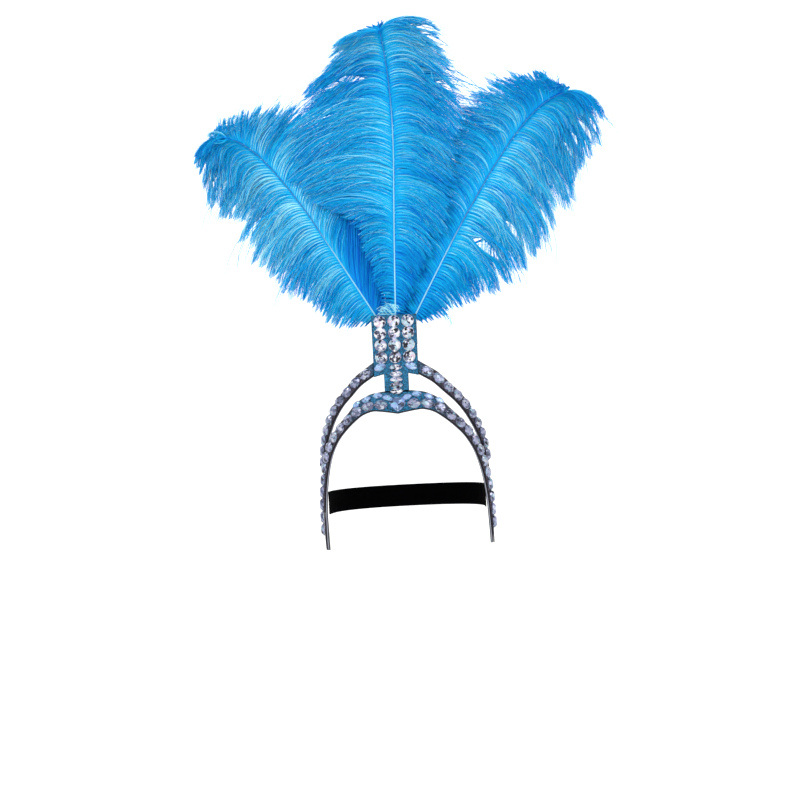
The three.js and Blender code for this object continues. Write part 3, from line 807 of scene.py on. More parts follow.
def wispStrands(plume, walk, rng):
    shares = np.array(barbs["shares"])
    s = shares[None, :]
    allPoints, allShades, total = [], [], 0
    for along, toX, toY, rowArch, curl, count, rowTone in plume["wisps"]:
        table = barbTable([(along + step, toX, toY, rowArch, rowTone) for step in wisp["spread"]])
        place = along + rng.uniform(-2.5, 2.5, count)
        length = 1 + rng.normal(0, wisp["length"], count)
        arch = 1 + rng.normal(0, wisp["tuftArch"] if rowTone > 1 else wisp["arch"], count)
        lift = rng.normal(0, wisp["lift"], count)
        path, across, _, tone = barbPaths(walk, table, place, shares, wisp["cup"], length, arch, lift)
        sway = np.sin(s * (5 + curl) + rng.uniform(0, 2 * np.pi, (count, 1))) * s**2 * curl
        path += across[:, None, :] * (sway + rng.normal(0, 1.6, count)[:, None] * s)[..., None]
        path[..., 1] += barbs["behindQuill"] * (1 - s) - wisp["forwards"] * s
        width = barbs["width"] * np.interp(shares, [0, 0.5, 1], wisp["widths"])[None, :] * np.ones((count, 1))
        allPoints.append(ribbons(path, width, np.broadcast_to(forward, path.shape)))
        shade = 0.5 + tone[:, None] * 0.5 + rng.normal(0, 0.1, (count, 1)) + 0 * s
        allShades.append(np.repeat(shade, 2, axis=1).ravel())
        total += count
    return np.concatenate(allPoints), np.concatenate(allShades), total


# Wider ribbons behind the strands close the plume. They overlap like shingles
def sideWeb(walk, side, rng):
    reach = side["webReach"]
    shares = np.linspace(0, reach, web["segments"] + 1)
    place = np.arange(0, side["pace"][-1], web["pitch"])
    count = len(place)
    group = groupAt(side, place)
    length = (web["length"] + rng.normal(0, 0.03, count)) * side["length"][group]
    path, across, size, tone = sidePaths(walk, side, place, shares, length)
    path = leanTogether(walk, side, path, group, 1.0, shares, length)
    openGaps(path, side["gaps"])
    path[..., 1] += web["depth"] * (1 - np.exp(-shares[None, :] * size[:, None] / barbs["rootLength"]))
    width = web["width"] * np.interp(shares, [0, 0.1, 0.6, reach], [0.7, 1, 0.8, 0.15])
    tilt = (np.radians(web["tilt"]) + rng.normal(0, 0.1, count))[:, None]
    points = ribbons(path, np.broadcast_to(width, path.shape[:2]), tilted(across, tilt))
    shade = web["middle"] + shades["reach"] * tone[:, None] + rng.normal(0, web["noise"], count)[:, None]
    return points, np.repeat(np.broadcast_to(shade, path.shape[:2]), 2, axis=1).ravel(), count


# A colour from a colour layer of the piece, mottled a little. On the barbs the layer holds their dye with
# painted highlights and painted shade
def makeLayerColour(name, layer, low, high, noise, bump=0.0, **values):
    material, tree, shader = newMaterial(name, **values)
    colour = addNode(tree, "ShaderNodeAttribute", attribute_name=layer)
    mottle = addNoise(tree, *noise).outputs["Fac"]
    varied = addNode(tree, "ShaderNodeHueSaturation")
    tree.links.new(addRange(tree, mottle, low, high), varied.inputs["Value"])
    tree.links.new(colour.outputs["Color"], varied.inputs["Color"])
    tree.links.new(varied.outputs["Color"], shader.inputs["Base Color"])
    if bump:
        addBump(tree, shader, mottle, bump, 0.0002)
    return material


def makePlume(name, plume, material):
    walk = walkQuill(plume)
    rng = np.random.default_rng(plume["seed"])
    for key in ("left", "right"):
        side = makeSide(plume, key, rng)
        parts = [sideStrands(walk, side, rng), sideWeb(walk, side, rng)]
        if key == "right":
            parts.insert(1, wispStrands(plume, walk, rng))
        points = np.concatenate([part[0] for part in parts])
        strandCount = sum(part[2] for part in parts[:-1])
        faces = ribbonFaces(strandCount, len(barbs["shares"]))
        webFaces = ribbonFaces(parts[-1][2], web["segments"] + 1) + len(points) - len(parts[-1][0])
        piece = meshPiece(f"barbs_{name}_{key}", toWorld(points), np.concatenate([faces, webFaces]), material)
        tone = np.concatenate([part[1] for part in parts]).clip(0, 1)
        paintPoints(piece, "barbColour", valuesAt(tone, toneStops, toneColours))
        finishPiece(piece, "plume", "plume_" + name)
    print("plume", name, "barbs done")
    return walk


quillLook = {
    "rootRadius": 0.82,
    "tipRadius": 0.5,
    "ridge": 2.2,  # how much deeper the quill is behind than in front
    "sides": 10,
    "rings": 70,
    "from": 6.0,
    "pale": linear(150, 216, 232),
    "blue": linear(4, 108, 182),
    "paleToBlue": 0.12,
}


def makeQuill(name, plume, walk, material):
    along = np.linspace(quillLook["from"], walk["along"][-1] * plume["quillEnd"], quillLook["rings"])
    place, side, front = (valuesAt(along, walk["along"], walk[v]) for v in ("place", "side", "front"))
    share = (along - along[0]) / (along[-1] - along[0])
    radius = quillLook["rootRadius"] + (quillLook["tipRadius"] - quillLook["rootRadius"]) * share
    n = quillLook["sides"]
    angle = np.arange(n) * 2 * np.pi / n
    depth = np.sin(angle) * np.where(np.sin(angle) > 0.01, quillLook["ridge"], 1)
    ring = side[:, None] * np.cos(angle)[None, :, None] - front[:, None] * depth[None, :, None]
    points = (place[:, None] + ring * radius[:, None, None]).reshape(-1, 3)
    rows = np.arange(len(along) - 1)[:, None] * n
    i = np.arange(n)[None, :]
    j = (i + 1) % n
    faces = np.stack([rows + i, rows + j, rows + n + j, rows + n + i], -1).reshape(-1, 4)
    piece = meshPiece(f"quill_shaft_{name}", toWorld(points), faces, material)
    turn = plume["paleUntil"]
    mix = np.interp(share, [0, turn - quillLook["paleToBlue"], turn, 1], [0, 0.25, 0.9, 1])[:, None]
    colours = quillLook["pale"] * (1 - mix) + quillLook["blue"] * mix
    paintPoints(piece, "quillColour", np.repeat(colours, n, axis=0))
    finishPiece(piece, "quill", "quill_" + name)


barbLook = {"Roughness": 0.6, "Specular IOR Level": 0.1}
barbMaterial = makeLayerColour("barbsDyeAndShade", "barbColour", 0.82, 1.18, (900.0, 3.0), **barbLook)
streaks = (260.0, 4.0, (1, 1, 0.05))
quillMaterial = makeLayerColour("paleQuill", "quillColour", 0.75, 1.25, streaks, 0.3, Roughness=0.38)
for plumeName, plumeData in plumes.items():
    makeQuill(plumeName, plumeData, makePlume(plumeName, plumeData, barbMaterial), quillMaterial)


# The layers of the band, the arches and the post, outwards from the inner side
layers = {"core": 3.2, "facing": 3.5, "facingThickness": 1.0, "stones": 4.8}
hollow = {"halfWidth": 88.5, "halfLength": 78.0, "archHalfLength": 81.0, "taper": 0.05, "middleHeight": 104.0}

# Degrees round the hollow from the front, height, and the distances to the upper and lower edge
bandSections = [
    (0, 104, 14.4, 9.4),
    (5, 104.2, 14.4, 8.2),
    (11, 104.6, 14.2, 7.2),
    (18.6, 104.6, 12.2, 6.3),
    (28, 100.6, 9.6, 6.2),
    (36.9, 92.6, 6.8, 6.2),
    (46.6, 82, 6.2, 6.2),
    (54.8, 72, 6.2, 6.2),
    (64.2, 57, 6.2, 6.2),
    (71.4, 41, 6.2, 6.2),
    (78, 22, 6.4, 6.4),
    (83, -3, 7, 7),
    (87, -27, 6.2, 6.2),
    (90, -43, 4.2, 4.2),
    (92, -52, 2.2, 2.2),
]
archSections = [
    (9, 147, 6.2, 6.2),
    (14, 145, 6.2, 6.2),
    (20.6, 139.6, 6.2, 6.2),
    (29.7, 131.6, 6.2, 6.2),
    (38.6, 120.6, 6.2, 6.2),
    (47.8, 110, 6.2, 6.2),
    (56.9, 97.6, 6.2, 6.2),
    (64.5, 85.4, 6.2, 6.2),
    (72, 73, 6.2, 6.2),
    (78.6, 58.6, 6.2, 5.6),
    (84, 44, 5.6, 5),
    (88.4, 29, 4.4, 4),
    (91.6, 13, 2.4, 2.2),
]


# A smooth line through the points, with the same number of steps from each to the next
def smoothLine(points, steps):
    points = np.asarray(points, float)
    ends = np.concatenate([[2 * points[0] - points[1]], points, [2 * points[-1] - points[-2]]])
    t = np.linspace(0, 1, steps, endpoint=False)[:, None]
    spans = []
    for a, b, c, d in zip(ends, ends[1:], ends[2:], ends[3:]):
        ab, bc, cd = (np.linalg.norm(q - p) ** 0.5 for p, q in ((a, b), (b, c), (c, d)))
        leave = ((b - a) / ab - (c - a) / (ab + bc) + (c - b) / bc) * bc
        reach = ((c - b) / bc - (d - b) / (bc + cd) + (d - c) / cd) * bc
        span = b + leave * t + (3 * (c - b) - 2 * leave - reach) * t**2
        spans.append(span + (2 * (b - c) + leave + reach) * t**3)
    return np.concatenate(spans + [points[-1:]])


def halfWidthAt(z):
    return hollow["halfWidth"] - hollow["taper"] * np.maximum(0, z)


def frontShare(y):
    return np.clip(-y / hollow["halfLength"], 0, 1) ** 2


# Frames along the right half of a strip round the hollow, from the front to its tip
def makeStrip(sections, halfLength, steps=60):
    around, z, upper, lower = np.array(sections, float).T
    around = np.radians(around)
    x, y = halfWidthAt(z) * np.sin(around), -halfLength * np.cos(around)
    y += (z - hollow["middleHeight"]) * math.tan(math.radians(postPlane["lean"])) * frontShare(y)
    place = smoothLine(np.stack([x, y, z], -1), steps)
    along = unit(np.gradient(place, axis=0))
    tilt = math.radians(postPlane["lean"]) * frontShare(place[:, 1])
    flatX, flatY = place[:, 0] / halfWidthAt(place[:, 2]) ** 2, place[:, 1] / hollow["halfLength"] ** 2
    flat = np.stack([flatX, flatY], -1) / np.hypot(flatX, flatY)[:, None] * np.cos(tilt)[:, None]
    out = np.concatenate([flat, np.sin(tilt)[:, None]], 1)
    up = unit(np.cross(out, along))
    out = unit(np.cross(along, up))
    step = np.linalg.norm(np.diff(place, axis=0), axis=1)
    distance = np.concatenate([[0], np.cumsum(step)])
    rows = np.linspace(0, len(sections) - 1, len(place))
    upper, lower = (np.interp(rows, np.arange(len(sections)), column) for column in (upper, lower))
    return dict(distance=distance, place=place, out=out, up=up, upper=upper, lower=lower)


def stripAt(strip, distance, side=1):
    found = {}
    for name, column in strip.items():
        if column.ndim == 1:
            found[name] = np.interp(distance, strip["distance"], column)
        else:
            found[name] = valuesAt(distance, strip["distance"], column) * (side, 1, 1)
    return found


def stripPlace(found, across, outwards):
    across, outwards = np.asarray(across)[..., None], np.asarray(outwards)[..., None]
    return found["place"] + found["up"] * across + found["out"] * outwards


# A closed skin over rings with the same number of points, capped at both ends
def skin(rings):
    count, size = rings.shape[:2]
    faces = []
    for r in range(count - 1):
        for i in range(size):
            j = (i + 1) % size
            faces.append((r * size + i, r * size + j, (r + 1) * size + j, (r + 1) * size + i))
    faces.append(tuple(range(size))[::-1])
    faces.append(tuple((count - 1) * size + i for i in range(size)))
    return rings.reshape(-1, 3), faces


def faceOutwards(piece):
    deselectAll()
    piece.select_set(True)
    bpy.context.view_layer.objects.active = piece
    bpy.ops.object.mode_set(mode="EDIT")
    bpy.ops.mesh.select_all(action="SELECT")
    bpy.ops.mesh.normals_make_consistent(inside=False)
    bpy.ops.object.mode_set(mode="OBJECT")
    deselectAll()


edgeLook = {"step": 2.0, "radius": 1.55, "endPoints": 9, "piping": 0.4}


# The rounded edge of the padding, with a fine raised line of piping down its middle, painted pale as a
# painted highlight
def coreRings(found):
    radius = np.minimum(edgeLook["radius"], found["lower"] * 0.7)
    rings, light = [], []
    for side, width in ((1, found["upper"]), (-1, found["lower"])):
        for angle in np.linspace(-90, 90, edgeLook["endPoints"]) * side:
            piped = angle == 0
            turn = math.radians(angle)
            reach = radius + edgeLook["piping"] * piped
            across = side * (width - radius + reach * math.cos(turn))
            rings.append(stripPlace(found, across, layers["core"] / 2 + reach * math.sin(turn)))
            light.append(float(piped))
    return np.stack(rings, 1), light


facingLook = {"inset": 1.2, "roll": 0.5, "dome": 0.2, "band": (28.0, 56.0), "arch": (16.0, 34.0)}


def facingRings(found):
    inset = np.minimum(facingLook["inset"], np.minimum(found["lower"], found["upper"]) * 0.4)
    low, high = -found["lower"] + inset, found["upper"] - inset
    top = layers["facing"] + layers["facingThickness"]
    base = np.full_like(low, layers["facing"] - 0.15)
    side, flat = np.full_like(low, top - facingLook["roll"]), np.full_like(low, top)
    roll = facingLook["roll"]
    edge = [(low, base), (high, base), (high, side), (high - roll, flat)]
    edge += [((low + high) / 2, flat + facingLook["dome"]), (low + roll, flat), (low, side)]
    return np.stack([stripPlace(found, across, outwards) for across, outwards in edge], 1)


# The facing is teal in the middle and turns to silver grey towards the sides
def facingTint(points, kind):
    share = np.interp(np.abs(points[:, 0]), facingLook[kind], (0, 1))[:, None]
    return linear(8, 64, 96) * (1 - share) + linear(34, 35, 47) * share


def makeEdgeMaterial():
    material, tree, shader = newMaterial("silverEdge", **{"Metallic": 0.7, "Specular IOR Level": 0.5})
    grain = addNoise(tree, 1500.0, 4.0)
    cloud = addNoise(tree, 60.0, 3.0)
    dark = addRamp(tree, cloud.outputs["Fac"], [(0.3, linear(16, 16, 20)), (0.7, linear(42, 42, 50))])
    # The pale line is a painted highlight along the piping; the stitches take the same pale colour
    line = addNode(tree, "ShaderNodeAttribute", attribute_name="pipingHighlightAndStitches")
    colour = addMix(tree, "MIX", line.outputs["Fac"], dark, (*linear(190, 192, 206), 1))
    tree.links.new(colour, shader.inputs["Base Color"])
    tree.links.new(addRange(tree, grain.outputs["Fac"], 0.28, 0.5), shader.inputs["Roughness"])
    addBump(tree, shader, grain.outputs["Fac"], 0.25, 0.0002)
    return material


def makeGlitterMaterial():
    material, tree, shader = newMaterial("glitter", **{"Metallic": 0.35, "Specular IOR Level": 0.4})
    flakes, fine = addCells(tree, 900.0), addCells(tree, 2100.0)
    tint = addNode(tree, "ShaderNodeAttribute", attribute_name="facingTint")
    # Dark, mid and bright flakes; the bright ones go above white, a painted glint
    steps = [(0.1, (0.12, 0.12, 0.16)), (0.5, (0.8, 0.85, 0.9)), (0.8, (2.2, 2.4, 2.2))]
    flakeTones = addRamp(tree, flakes.outputs["Color"], steps)
    ground = addMix(tree, "MULTIPLY", 1.0, tint.outputs["Color"], flakeTones)
    # A few fine cells get a base colour far above white: painted glints
    glintCells = addRamp(tree, fine.outputs["Color"], [(0.64, (0, 0, 0)), (0.72, (1, 1, 1))])
    paintedGlint = addMix(tree, "MULTIPLY", 1.0, tint.outputs["Color"], (8.0, 5.0, 4.0, 1))
    colour = addMix(tree, "MIX", glintCells, ground, paintedGlint)
    tree.links.new(colour, shader.inputs["Base Color"])
    tree.links.new(addRange(tree, flakes.outputs["Distance"], 0.2, 0.55), shader.inputs["Roughness"])
    addBump(tree, shader, flakes.outputs["Distance"], 0.6, 0.0005)
    return material


band = makeStrip(bandSections, hollow["halfLength"])
arch = makeStrip(archSections, hollow["archHalfLength"])
edgeMaterial = makeEdgeMaterial()
glitterMaterial = makeGlitterMaterial()


def stripSteps(strip):
    end = strip["distance"][-1]
    return np.append(np.arange(0, end, edgeLook["step"]), end)


# Both halves of the band in one, from the left tip to the right one
def wholeBand():
    places = stripSteps(band)
    right, left = stripAt(band, places), stripAt(band, places[:0:-1], -1)
    return {name: np.concatenate([left[name], right[name]]) for name in right}


# Ends the rings flat, a little outside the plate of the post
def endAtPlate(rings):
    limit = post["shoulderHalfWidth"] + 0.1
    first = np.argmax(np.abs(rings[:, :, 0]).min(1) > limit)
    step = rings[first + 1] - rings[first]
    share = (limit * np.sign(rings[first, :, 0]) - rings[first, :, 0]) / step[:, 0]
    return np.concatenate([(rings[first] + step * share[:, None])[None], rings[first:]])


def makeCore(name, found, node, cutAtPlate=False):
    rings, light = coreRings(found)
    rings = endAtPlate(rings) if cutAtPlate else rings
    light = np.tile(light, len(rings))
    points, faces = skin(rings)
    piece = solidPiece(name, points, faces, edgeMaterial)
    faceOutwards(piece)
    paintPoints(piece, "pipingHighlightAndStitches", np.repeat(light[:, None], 3, axis=1))
    finishPiece(piece, "padded_edge", node)


def makeFacing(name, found, node, cutAtPlate=False):
    rings = facingRings(found)
    points, faces = skin(endAtPlate(rings) if cutAtPlate else rings)
    piece = solidPiece(name, points, faces, glitterMaterial)
    faceOutwards(piece)
    paintPoints(piece, "facingTint", facingTint(points, "arch" if cutAtPlate else "band"))
    finishPiece(piece, "glitter_facing", node)


post = {
    "bottom": 15.1,
    "neckTop": 33.4,
    "shoulder": 30.8,
    "top": 96.6,
    "neckHalfWidth": 13.1,
    "shoulderHalfWidth": 23.8,
    "topHalfWidth": 24.3,
    "facingInset": 0.4,
    "round": 0.45,
}


def applyModifier(piece, kind, **settings):
    deselectAll()
    piece.select_set(True)
    bpy.context.view_layer.objects.active = piece
    modifier = piece.modifiers.new(kind.lower(), kind)
    for key, value in settings.items():
        setattr(modifier, key, value)
    bpy.ops.object.modifier_apply(modifier=modifier.name)
    deselectAll()


# A plate of the post: its outline, drawn flat, thickened towards the front and bevelled
def makePlate(name, inset, back, thickness, slot, node):
    neck, shoulder, top = (post[n] - inset for n in ("neckHalfWidth", "shoulderHalfWidth", "topHalfWidth"))
    low, high = post["bottom"], post["top"] - inset
    half = [(neck, low), (neck, post["neckTop"] + inset), (shoulder, post["shoulder"] + inset), (top, high)]
    outline = half + [(-x, z) for x, z in half[::-1]]
    front = toWorld(np.array([(x, -back - thickness, z) for x, z in outline]))
    rear = toWorld(np.array([(x, -back, z) for x, z in outline]))
    size = len(outline)
    sides = [(i, (i + 1) % size, (i + 1) % size + size, i + size) for i in range(size)]
    faces = [tuple(range(size)), tuple(range(size, 2 * size))[::-1]] + sides
    piece = solidPiece(name, np.concatenate([front, rear]), faces, glitterMaterial, smooth=False)
    faceOutwards(piece)
    applyModifier(piece, "BEVEL", width=post["round"] * mm, segments=3, limit_method="ANGLE")
    corners = np.array([v.co for v in piece.data.vertices])
    paintPoints(piece, "facingTint", facingTint(corners / mm, "band") * (0.6 if back == 0 else 1.0))
    finishPiece(piece, slot, node)


makeCore("padded_band", wholeBand(), "front_band_core")
makeFacing("band_glitter", wholeBand(), "front_band_facing")
for sideName, side in (("left", -1), ("right", 1)):
    found = stripAt(arch, stripSteps(arch), side)
    makeCore("padded_arch_" + sideName, found, "upper_arch_core_" + sideName, True)
    makeFacing("arch_glitter_" + sideName, found, "upper_arch_facing_" + sideName, True)
makePlate("post_board", 0.0, 0.0, layers["core"], "padded_edge", "post_core")
facingDepths = (post["facingInset"], layers["facing"], layers["facingThickness"])
makePlate("post_glitter", *facingDepths, "glitter_facing", "post_facing")
print("band, arches and post done")

# Sizes of the stones in mm: across, up, height, and the share of the flat on top
stoneSizes = {
    "round": (13.2, 13.2, 4.4, 0.52),
    "neck": (13.4, 6.6, 3.4, 0.5),
    "row": (14.6, 10.4, 3.8, 0.6),
    "junction": (13.8, 8.4, 3.6, 0.5),
    "small": (11.0, 6.4, 2.9, 0.5),
    "pear": (17.6, 15.4, 4.8, 0.5),
}
cut = {
    "sides": 8,
    "girdle": 0.9,
    "middle": 0.8,
    "middleRise": 0.6,
    "star": 0.3,
    "shared": 0.75,
    "light": (0.85, 1.0),
}
# Facet colours of the stones: painted reflections, from white glints through pale tints and greys to near
# black
facetReflections = np.array([
    linear(252, 252, 255),
    linear(206, 206, 232),
    linear(232, 210, 224),
    linear(190, 222, 230),
    linear(128, 134, 162),
    linear(62, 60, 82),
    linear(16, 14, 24),
])
# How often each of those painted reflections falls on the facets of each zone, for each look
stoneShares = {
    "clear": {
        "rim": (0.5, 0.2, 0.03, 0.12, 0.15, 0, 0),
        "kite": (0.42, 0.16, 0.04, 0.1, 0.14, 0.08, 0.06),
        "table": (0.24, 0.13, 0.04, 0.1, 0.22, 0.17, 0.1),
    },
    "milky": {
        "rim": (0.1, 0.3, 0.02, 0.2, 0.3, 0.08, 0),
        "kite": (0.16, 0.36, 0.04, 0.2, 0.2, 0.04, 0),
        "table": (0.2, 0.38, 0.04, 0.24, 0.12, 0.02, 0),
    },
    "grey": {
        "rim": (0.02, 0.26, 0, 0.1, 0.42, 0.18, 0.02),
        "kite": (0.05, 0.26, 0.02, 0.1, 0.43, 0.12, 0.02),
        "table": (0.13, 0.36, 0.03, 0.1, 0.3, 0.06, 0.02),
    },
}
stoneTints = {"clear": (1, 1, 1), "milky": (0.55, 0.78, 1.0), "grey": (0.58, 0.61, 0.67)}


# The outline of a stone as a point for each turn round it, for a size of 2 by 2
def stoneOutline(kind, turn):
    x, y = math.cos(turn), math.sin(turn)
    if kind in ("neck", "row", "small", "junction"):
        return x, math.copysign(abs(y) ** (1.2 if kind == "row" else 1.45), y)
    if kind == "pear" and y < 0:
        return math.copysign(1 - abs(y) ** 1.7, x), 0.16 + 1.16 * y
    if kind == "pear":
        return x, 0.16 + 0.84 * y
    return x, y


# A faceted stone with a flat back at z = 0: girdle, kites, stars and a table with an inner star
def stoneFacets(kind):
    across, upwards, height, flat = stoneSizes[kind]
    sides = cut["sides"]

    def ring(count, share, z, offset=0.0):
        outline = [stoneOutline(kind, 2 * math.pi * (k + offset) / count) for k in range(count)]
        return [(x * across / 2 * share, y * upwards / 2 * share, z) for x, y in outline]

    middleHeight = cut["girdle"] + (height - cut["girdle"]) * cut["middleRise"]
    vertices = ring(2 * sides, 1, 0) + ring(2 * sides, 1, cut["girdle"])
    vertices += ring(sides, cut["middle"], middleHeight) + ring(sides, flat, height, 0.5)
    vertices += ring(sides, flat * cut["star"] * 2, height) + [(0, 0, height)]
    base, girdle, middle, table, star, tip = 0, 2 * sides, 4 * sides, 5 * sides, 6 * sides, 7 * sides
    faces = [tuple(range(2 * sides))[::-1]]
    zones = [("rim", 0)]
    for k in range(2 * sides):
        after = (k + 1) % (2 * sides)
        faces.append((base + k, base + after, girdle + after, girdle + k))
        zones.append(("rim", k // 2))
    for k in range(sides):
        after, before = (k + 1) % sides, (2 * k - 1) % (2 * sides)
        faces.append((girdle + 2 * k, girdle + 2 * k + 1, middle + k))
        faces.append((girdle + before, girdle + 2 * k, middle + k))
        faces.append((middle + k, girdle + 2 * k + 1, middle + after, table + k))
        faces.append((table + k, middle + after, table + after))
        faces.append((star + k, table + k, star + after))
        faces.append((table + k, table + after, star + after))
        faces.append((star + k, star + after, tip))
        zones += [(zone, k) for zone in ("rim", "rim", "kite", "kite", "table", "table", "table")]
    return np.array(vertices), faces, zones


def stoneFrame(place, right, upwards, outwards, turn=0.0):
    cosine, sine = math.cos(math.radians(turn)), math.sin(math.radians(turn))
    return np.array([right * cosine + upwards * sine, upwards * cosine - right * sine, outwards]), place


def postFrame(x, height, turn=0.0):
    right, upwards, outwards = np.array([[1.0, 0, 0], [0, leanSin, leanCos], [0, -leanCos, leanSin]])
    return stoneFrame(toWorld(np.array([x, -layers["stones"], height])), right, upwards, outwards, turn)


def stripFrame(strip, distance, rise, turn, side):
    found = stripAt(strip, distance, side)
    place = stripPlace(found, rise, layers["stones"])
    return stoneFrame(place, np.cross(found["up"], found["out"]), found["up"], found["out"], turn * side)


def makeStoneMaterial():
    look = {"Metallic": 0.3, "Roughness": 0.08, "Specular IOR Level": 0.5}
    look.update({"Coat Weight": 0.4, "Coat Roughness": 0.03})
    material, tree, shader = newMaterial("foiledCrystal", **look)
    facet = addNode(tree, "ShaderNodeAttribute", attribute_name="facetColour")
    cloud = addNoise(tree, 240.0, 1.0)
    tints = [(0.3, (0.8, 0.78, 1.0)), (0.45, (1, 1, 1)), (0.56, (1, 0.88, 0.94)), (0.7, (0.78, 1.0, 0.95))]
    sheen = addRamp(tree, cloud.outputs["Fac"], tints)
    colour = addMix(tree, "MULTIPLY", 0.45, facet.outputs["Color"], sheen)
    tree.links.new(colour, shader.inputs["Base Color"])
    addBump(tree, shader, cloud.outputs["Fac"], 0.04, 0.0005)
    return material


stoneMaterial = makeStoneMaterial()
stoneRandom = np.random.default_rng(5)


def makeStones(node, kind, stoneFrames, look, extra=None):
    points, faces, colours = [], [], []
    start = 0
    base, facets, zones = stoneFacets(kind)
    shares = stoneShares[look]
    for axes, place in stoneFrames:
        points.append(base @ axes + place)
        faces += [tuple(start + i for i in facet) for facet in facets]
        # Facets of a sector often share a reflection, so the patches are larger than one facet
        sector = stoneRandom.choice(len(facetReflections), cut["sides"], p=shares["table"])
        choice = np.array([stoneRandom.choice(len(facetReflections), p=shares[zone]) for zone, _ in zones])
        shared = stoneRandom.uniform(0, 1, len(zones)) < cut["shared"]
        shared &= np.array([zone != "rim" for zone, _ in zones])
        choice = np.where(shared, sector[[k for _, k in zones]], choice)
        light = stoneRandom.uniform(*cut["light"], len(facets))[:, None]
        colours.append(facetReflections[choice] * light * stoneTints[look])
        start += len(base)
    if extra is not None:
        tapePoints, tapeFaces = extra
        points.append(tapePoints)
        faces += [tuple(start + i for i in facet) for facet in tapeFaces]
        colours.append(np.tile(linear(96, 98, 112), (len(tapeFaces), 1)))
    piece = solidPiece("cut_" + node, np.concatenate(points), faces, stoneMaterial, smooth=False)
    faceOutwards(piece)
    corners = [len(face) for face in faces]
    paintPoints(piece, "facetColour", np.repeat(np.concatenate(colours), corners, axis=0), "CORNER")
    finishPiece(piece, "stone", node)


stonePlaces = {
    "columns": (-15, 0, 15),
    "rows": (89.4, 76.7, 63.8, 50.8),
    "neck": (39.9, 32.9, 26.8, 20.7, 14.3),
    "junction": (16.6, 40.6, -20),
    "small": ((10.4, 7.4, 8), (20.4, 9.6, -4), (31, 7.4, -6), (42, 6.8, -4)),
    "pitch": 14.3,
    "bandRow": (16.8, 14),
    "archRow": (21.5, 10),
    "tape": (1.3, 0.6),
}


def makeRow(name, strip, row, side):
    first, count = row
    distances = first + np.arange(count) * stonePlaces["pitch"]
    stoneFrames = [stripFrame(strip, d, 0, 0, side) for d in distances]
    half = stoneSizes["row"][0] / 2 - 1
    found = stripAt(strip, np.linspace(distances[0] - half, distances[-1] + half, 4 * count), side)
    width, thickness = stonePlaces["tape"]
    low = layers["stones"]
    corners = [(-width, low), (width, low), (width, low + thickness), (-width, low + thickness)]
    rings = np.stack([stripPlace(found, a, b) for a, b in corners], 1)
    makeStones(name, "row", stoneFrames, "grey", skin(rings))


for r, height in enumerate(stonePlaces["rows"]):
    for c, x in enumerate(stonePlaces["columns"]):
        makeStones(f"round_stone_{r + 1}_{c + 1}", "round", [postFrame(x, height, 9 * r + 17 * c)], "clear")
for i, height in enumerate(stonePlaces["neck"]):
    makeStones(f"neck_stone_{i + 1}", "neck", [postFrame(0, height)], "clear")
makeStones("pear_stone", "pear", [stripFrame(band, 0, 0.4, 0, 1)], "milky")
for sideName, side in (("left", -1), ("right", 1)):
    x, height, turn = stonePlaces["junction"]
    makeStones("junction_stone_" + sideName, "junction", [postFrame(side * x, height, side * turn)], "milky")
    for i, smallPlace in enumerate(stonePlaces["small"]):
        makeStones(f"small_stone_{sideName}_{i + 1}", "small", [stripFrame(band, *smallPlace, side)], "milky")
    makeRow("band_stone_row_" + sideName, band, stonePlaces["bandRow"], side)
    makeRow("arch_stone_row_" + sideName, arch, stonePlaces["archRow"], side)
print("stones done")

strap = {
    "height": 25.0,
    "thickness": 1.2,
    "half": [(0, 99), (31, 94.5), (56, 80.5), (73, 59), (82, 35), (85.7, 12), (86.7, -11)],
    "rows": 6,
    "inwards": 0.75,
}


def makeElasticMaterial():
    material, tree, shader = newMaterial("wovenElastic", **{"Specular IOR Level": 0.01})
    place = addNode(tree, "ShaderNodeUVMap", uv_map="lay")
    ribs = addNode(tree, "ShaderNodeTexWave", {"Scale": 250.0, "Distortion": 0.4}, bands_direction="Y")
    picks = addNode(tree, "ShaderNodeTexWave", {"Scale": 400.0, "Distortion": 0.6}, bands_direction="X")
    for wave in (ribs, picks):
        tree.links.new(place.outputs["UV"], wave.inputs["Vector"])
    weave = addMix(tree, "MULTIPLY", 1.0, ribs.outputs["Color"], picks.outputs["Color"])
    colour = addRamp(tree, weave, [(0.1, linear(1, 1, 2)), (0.9, linear(7, 7, 9))])
    tree.links.new(colour, shader.inputs["Base Color"])
    tree.links.new(addRange(tree, weave, 0.95, 0.7), shader.inputs["Roughness"])
    addBump(tree, shader, weave, 0.6, 0.0004)
    return material


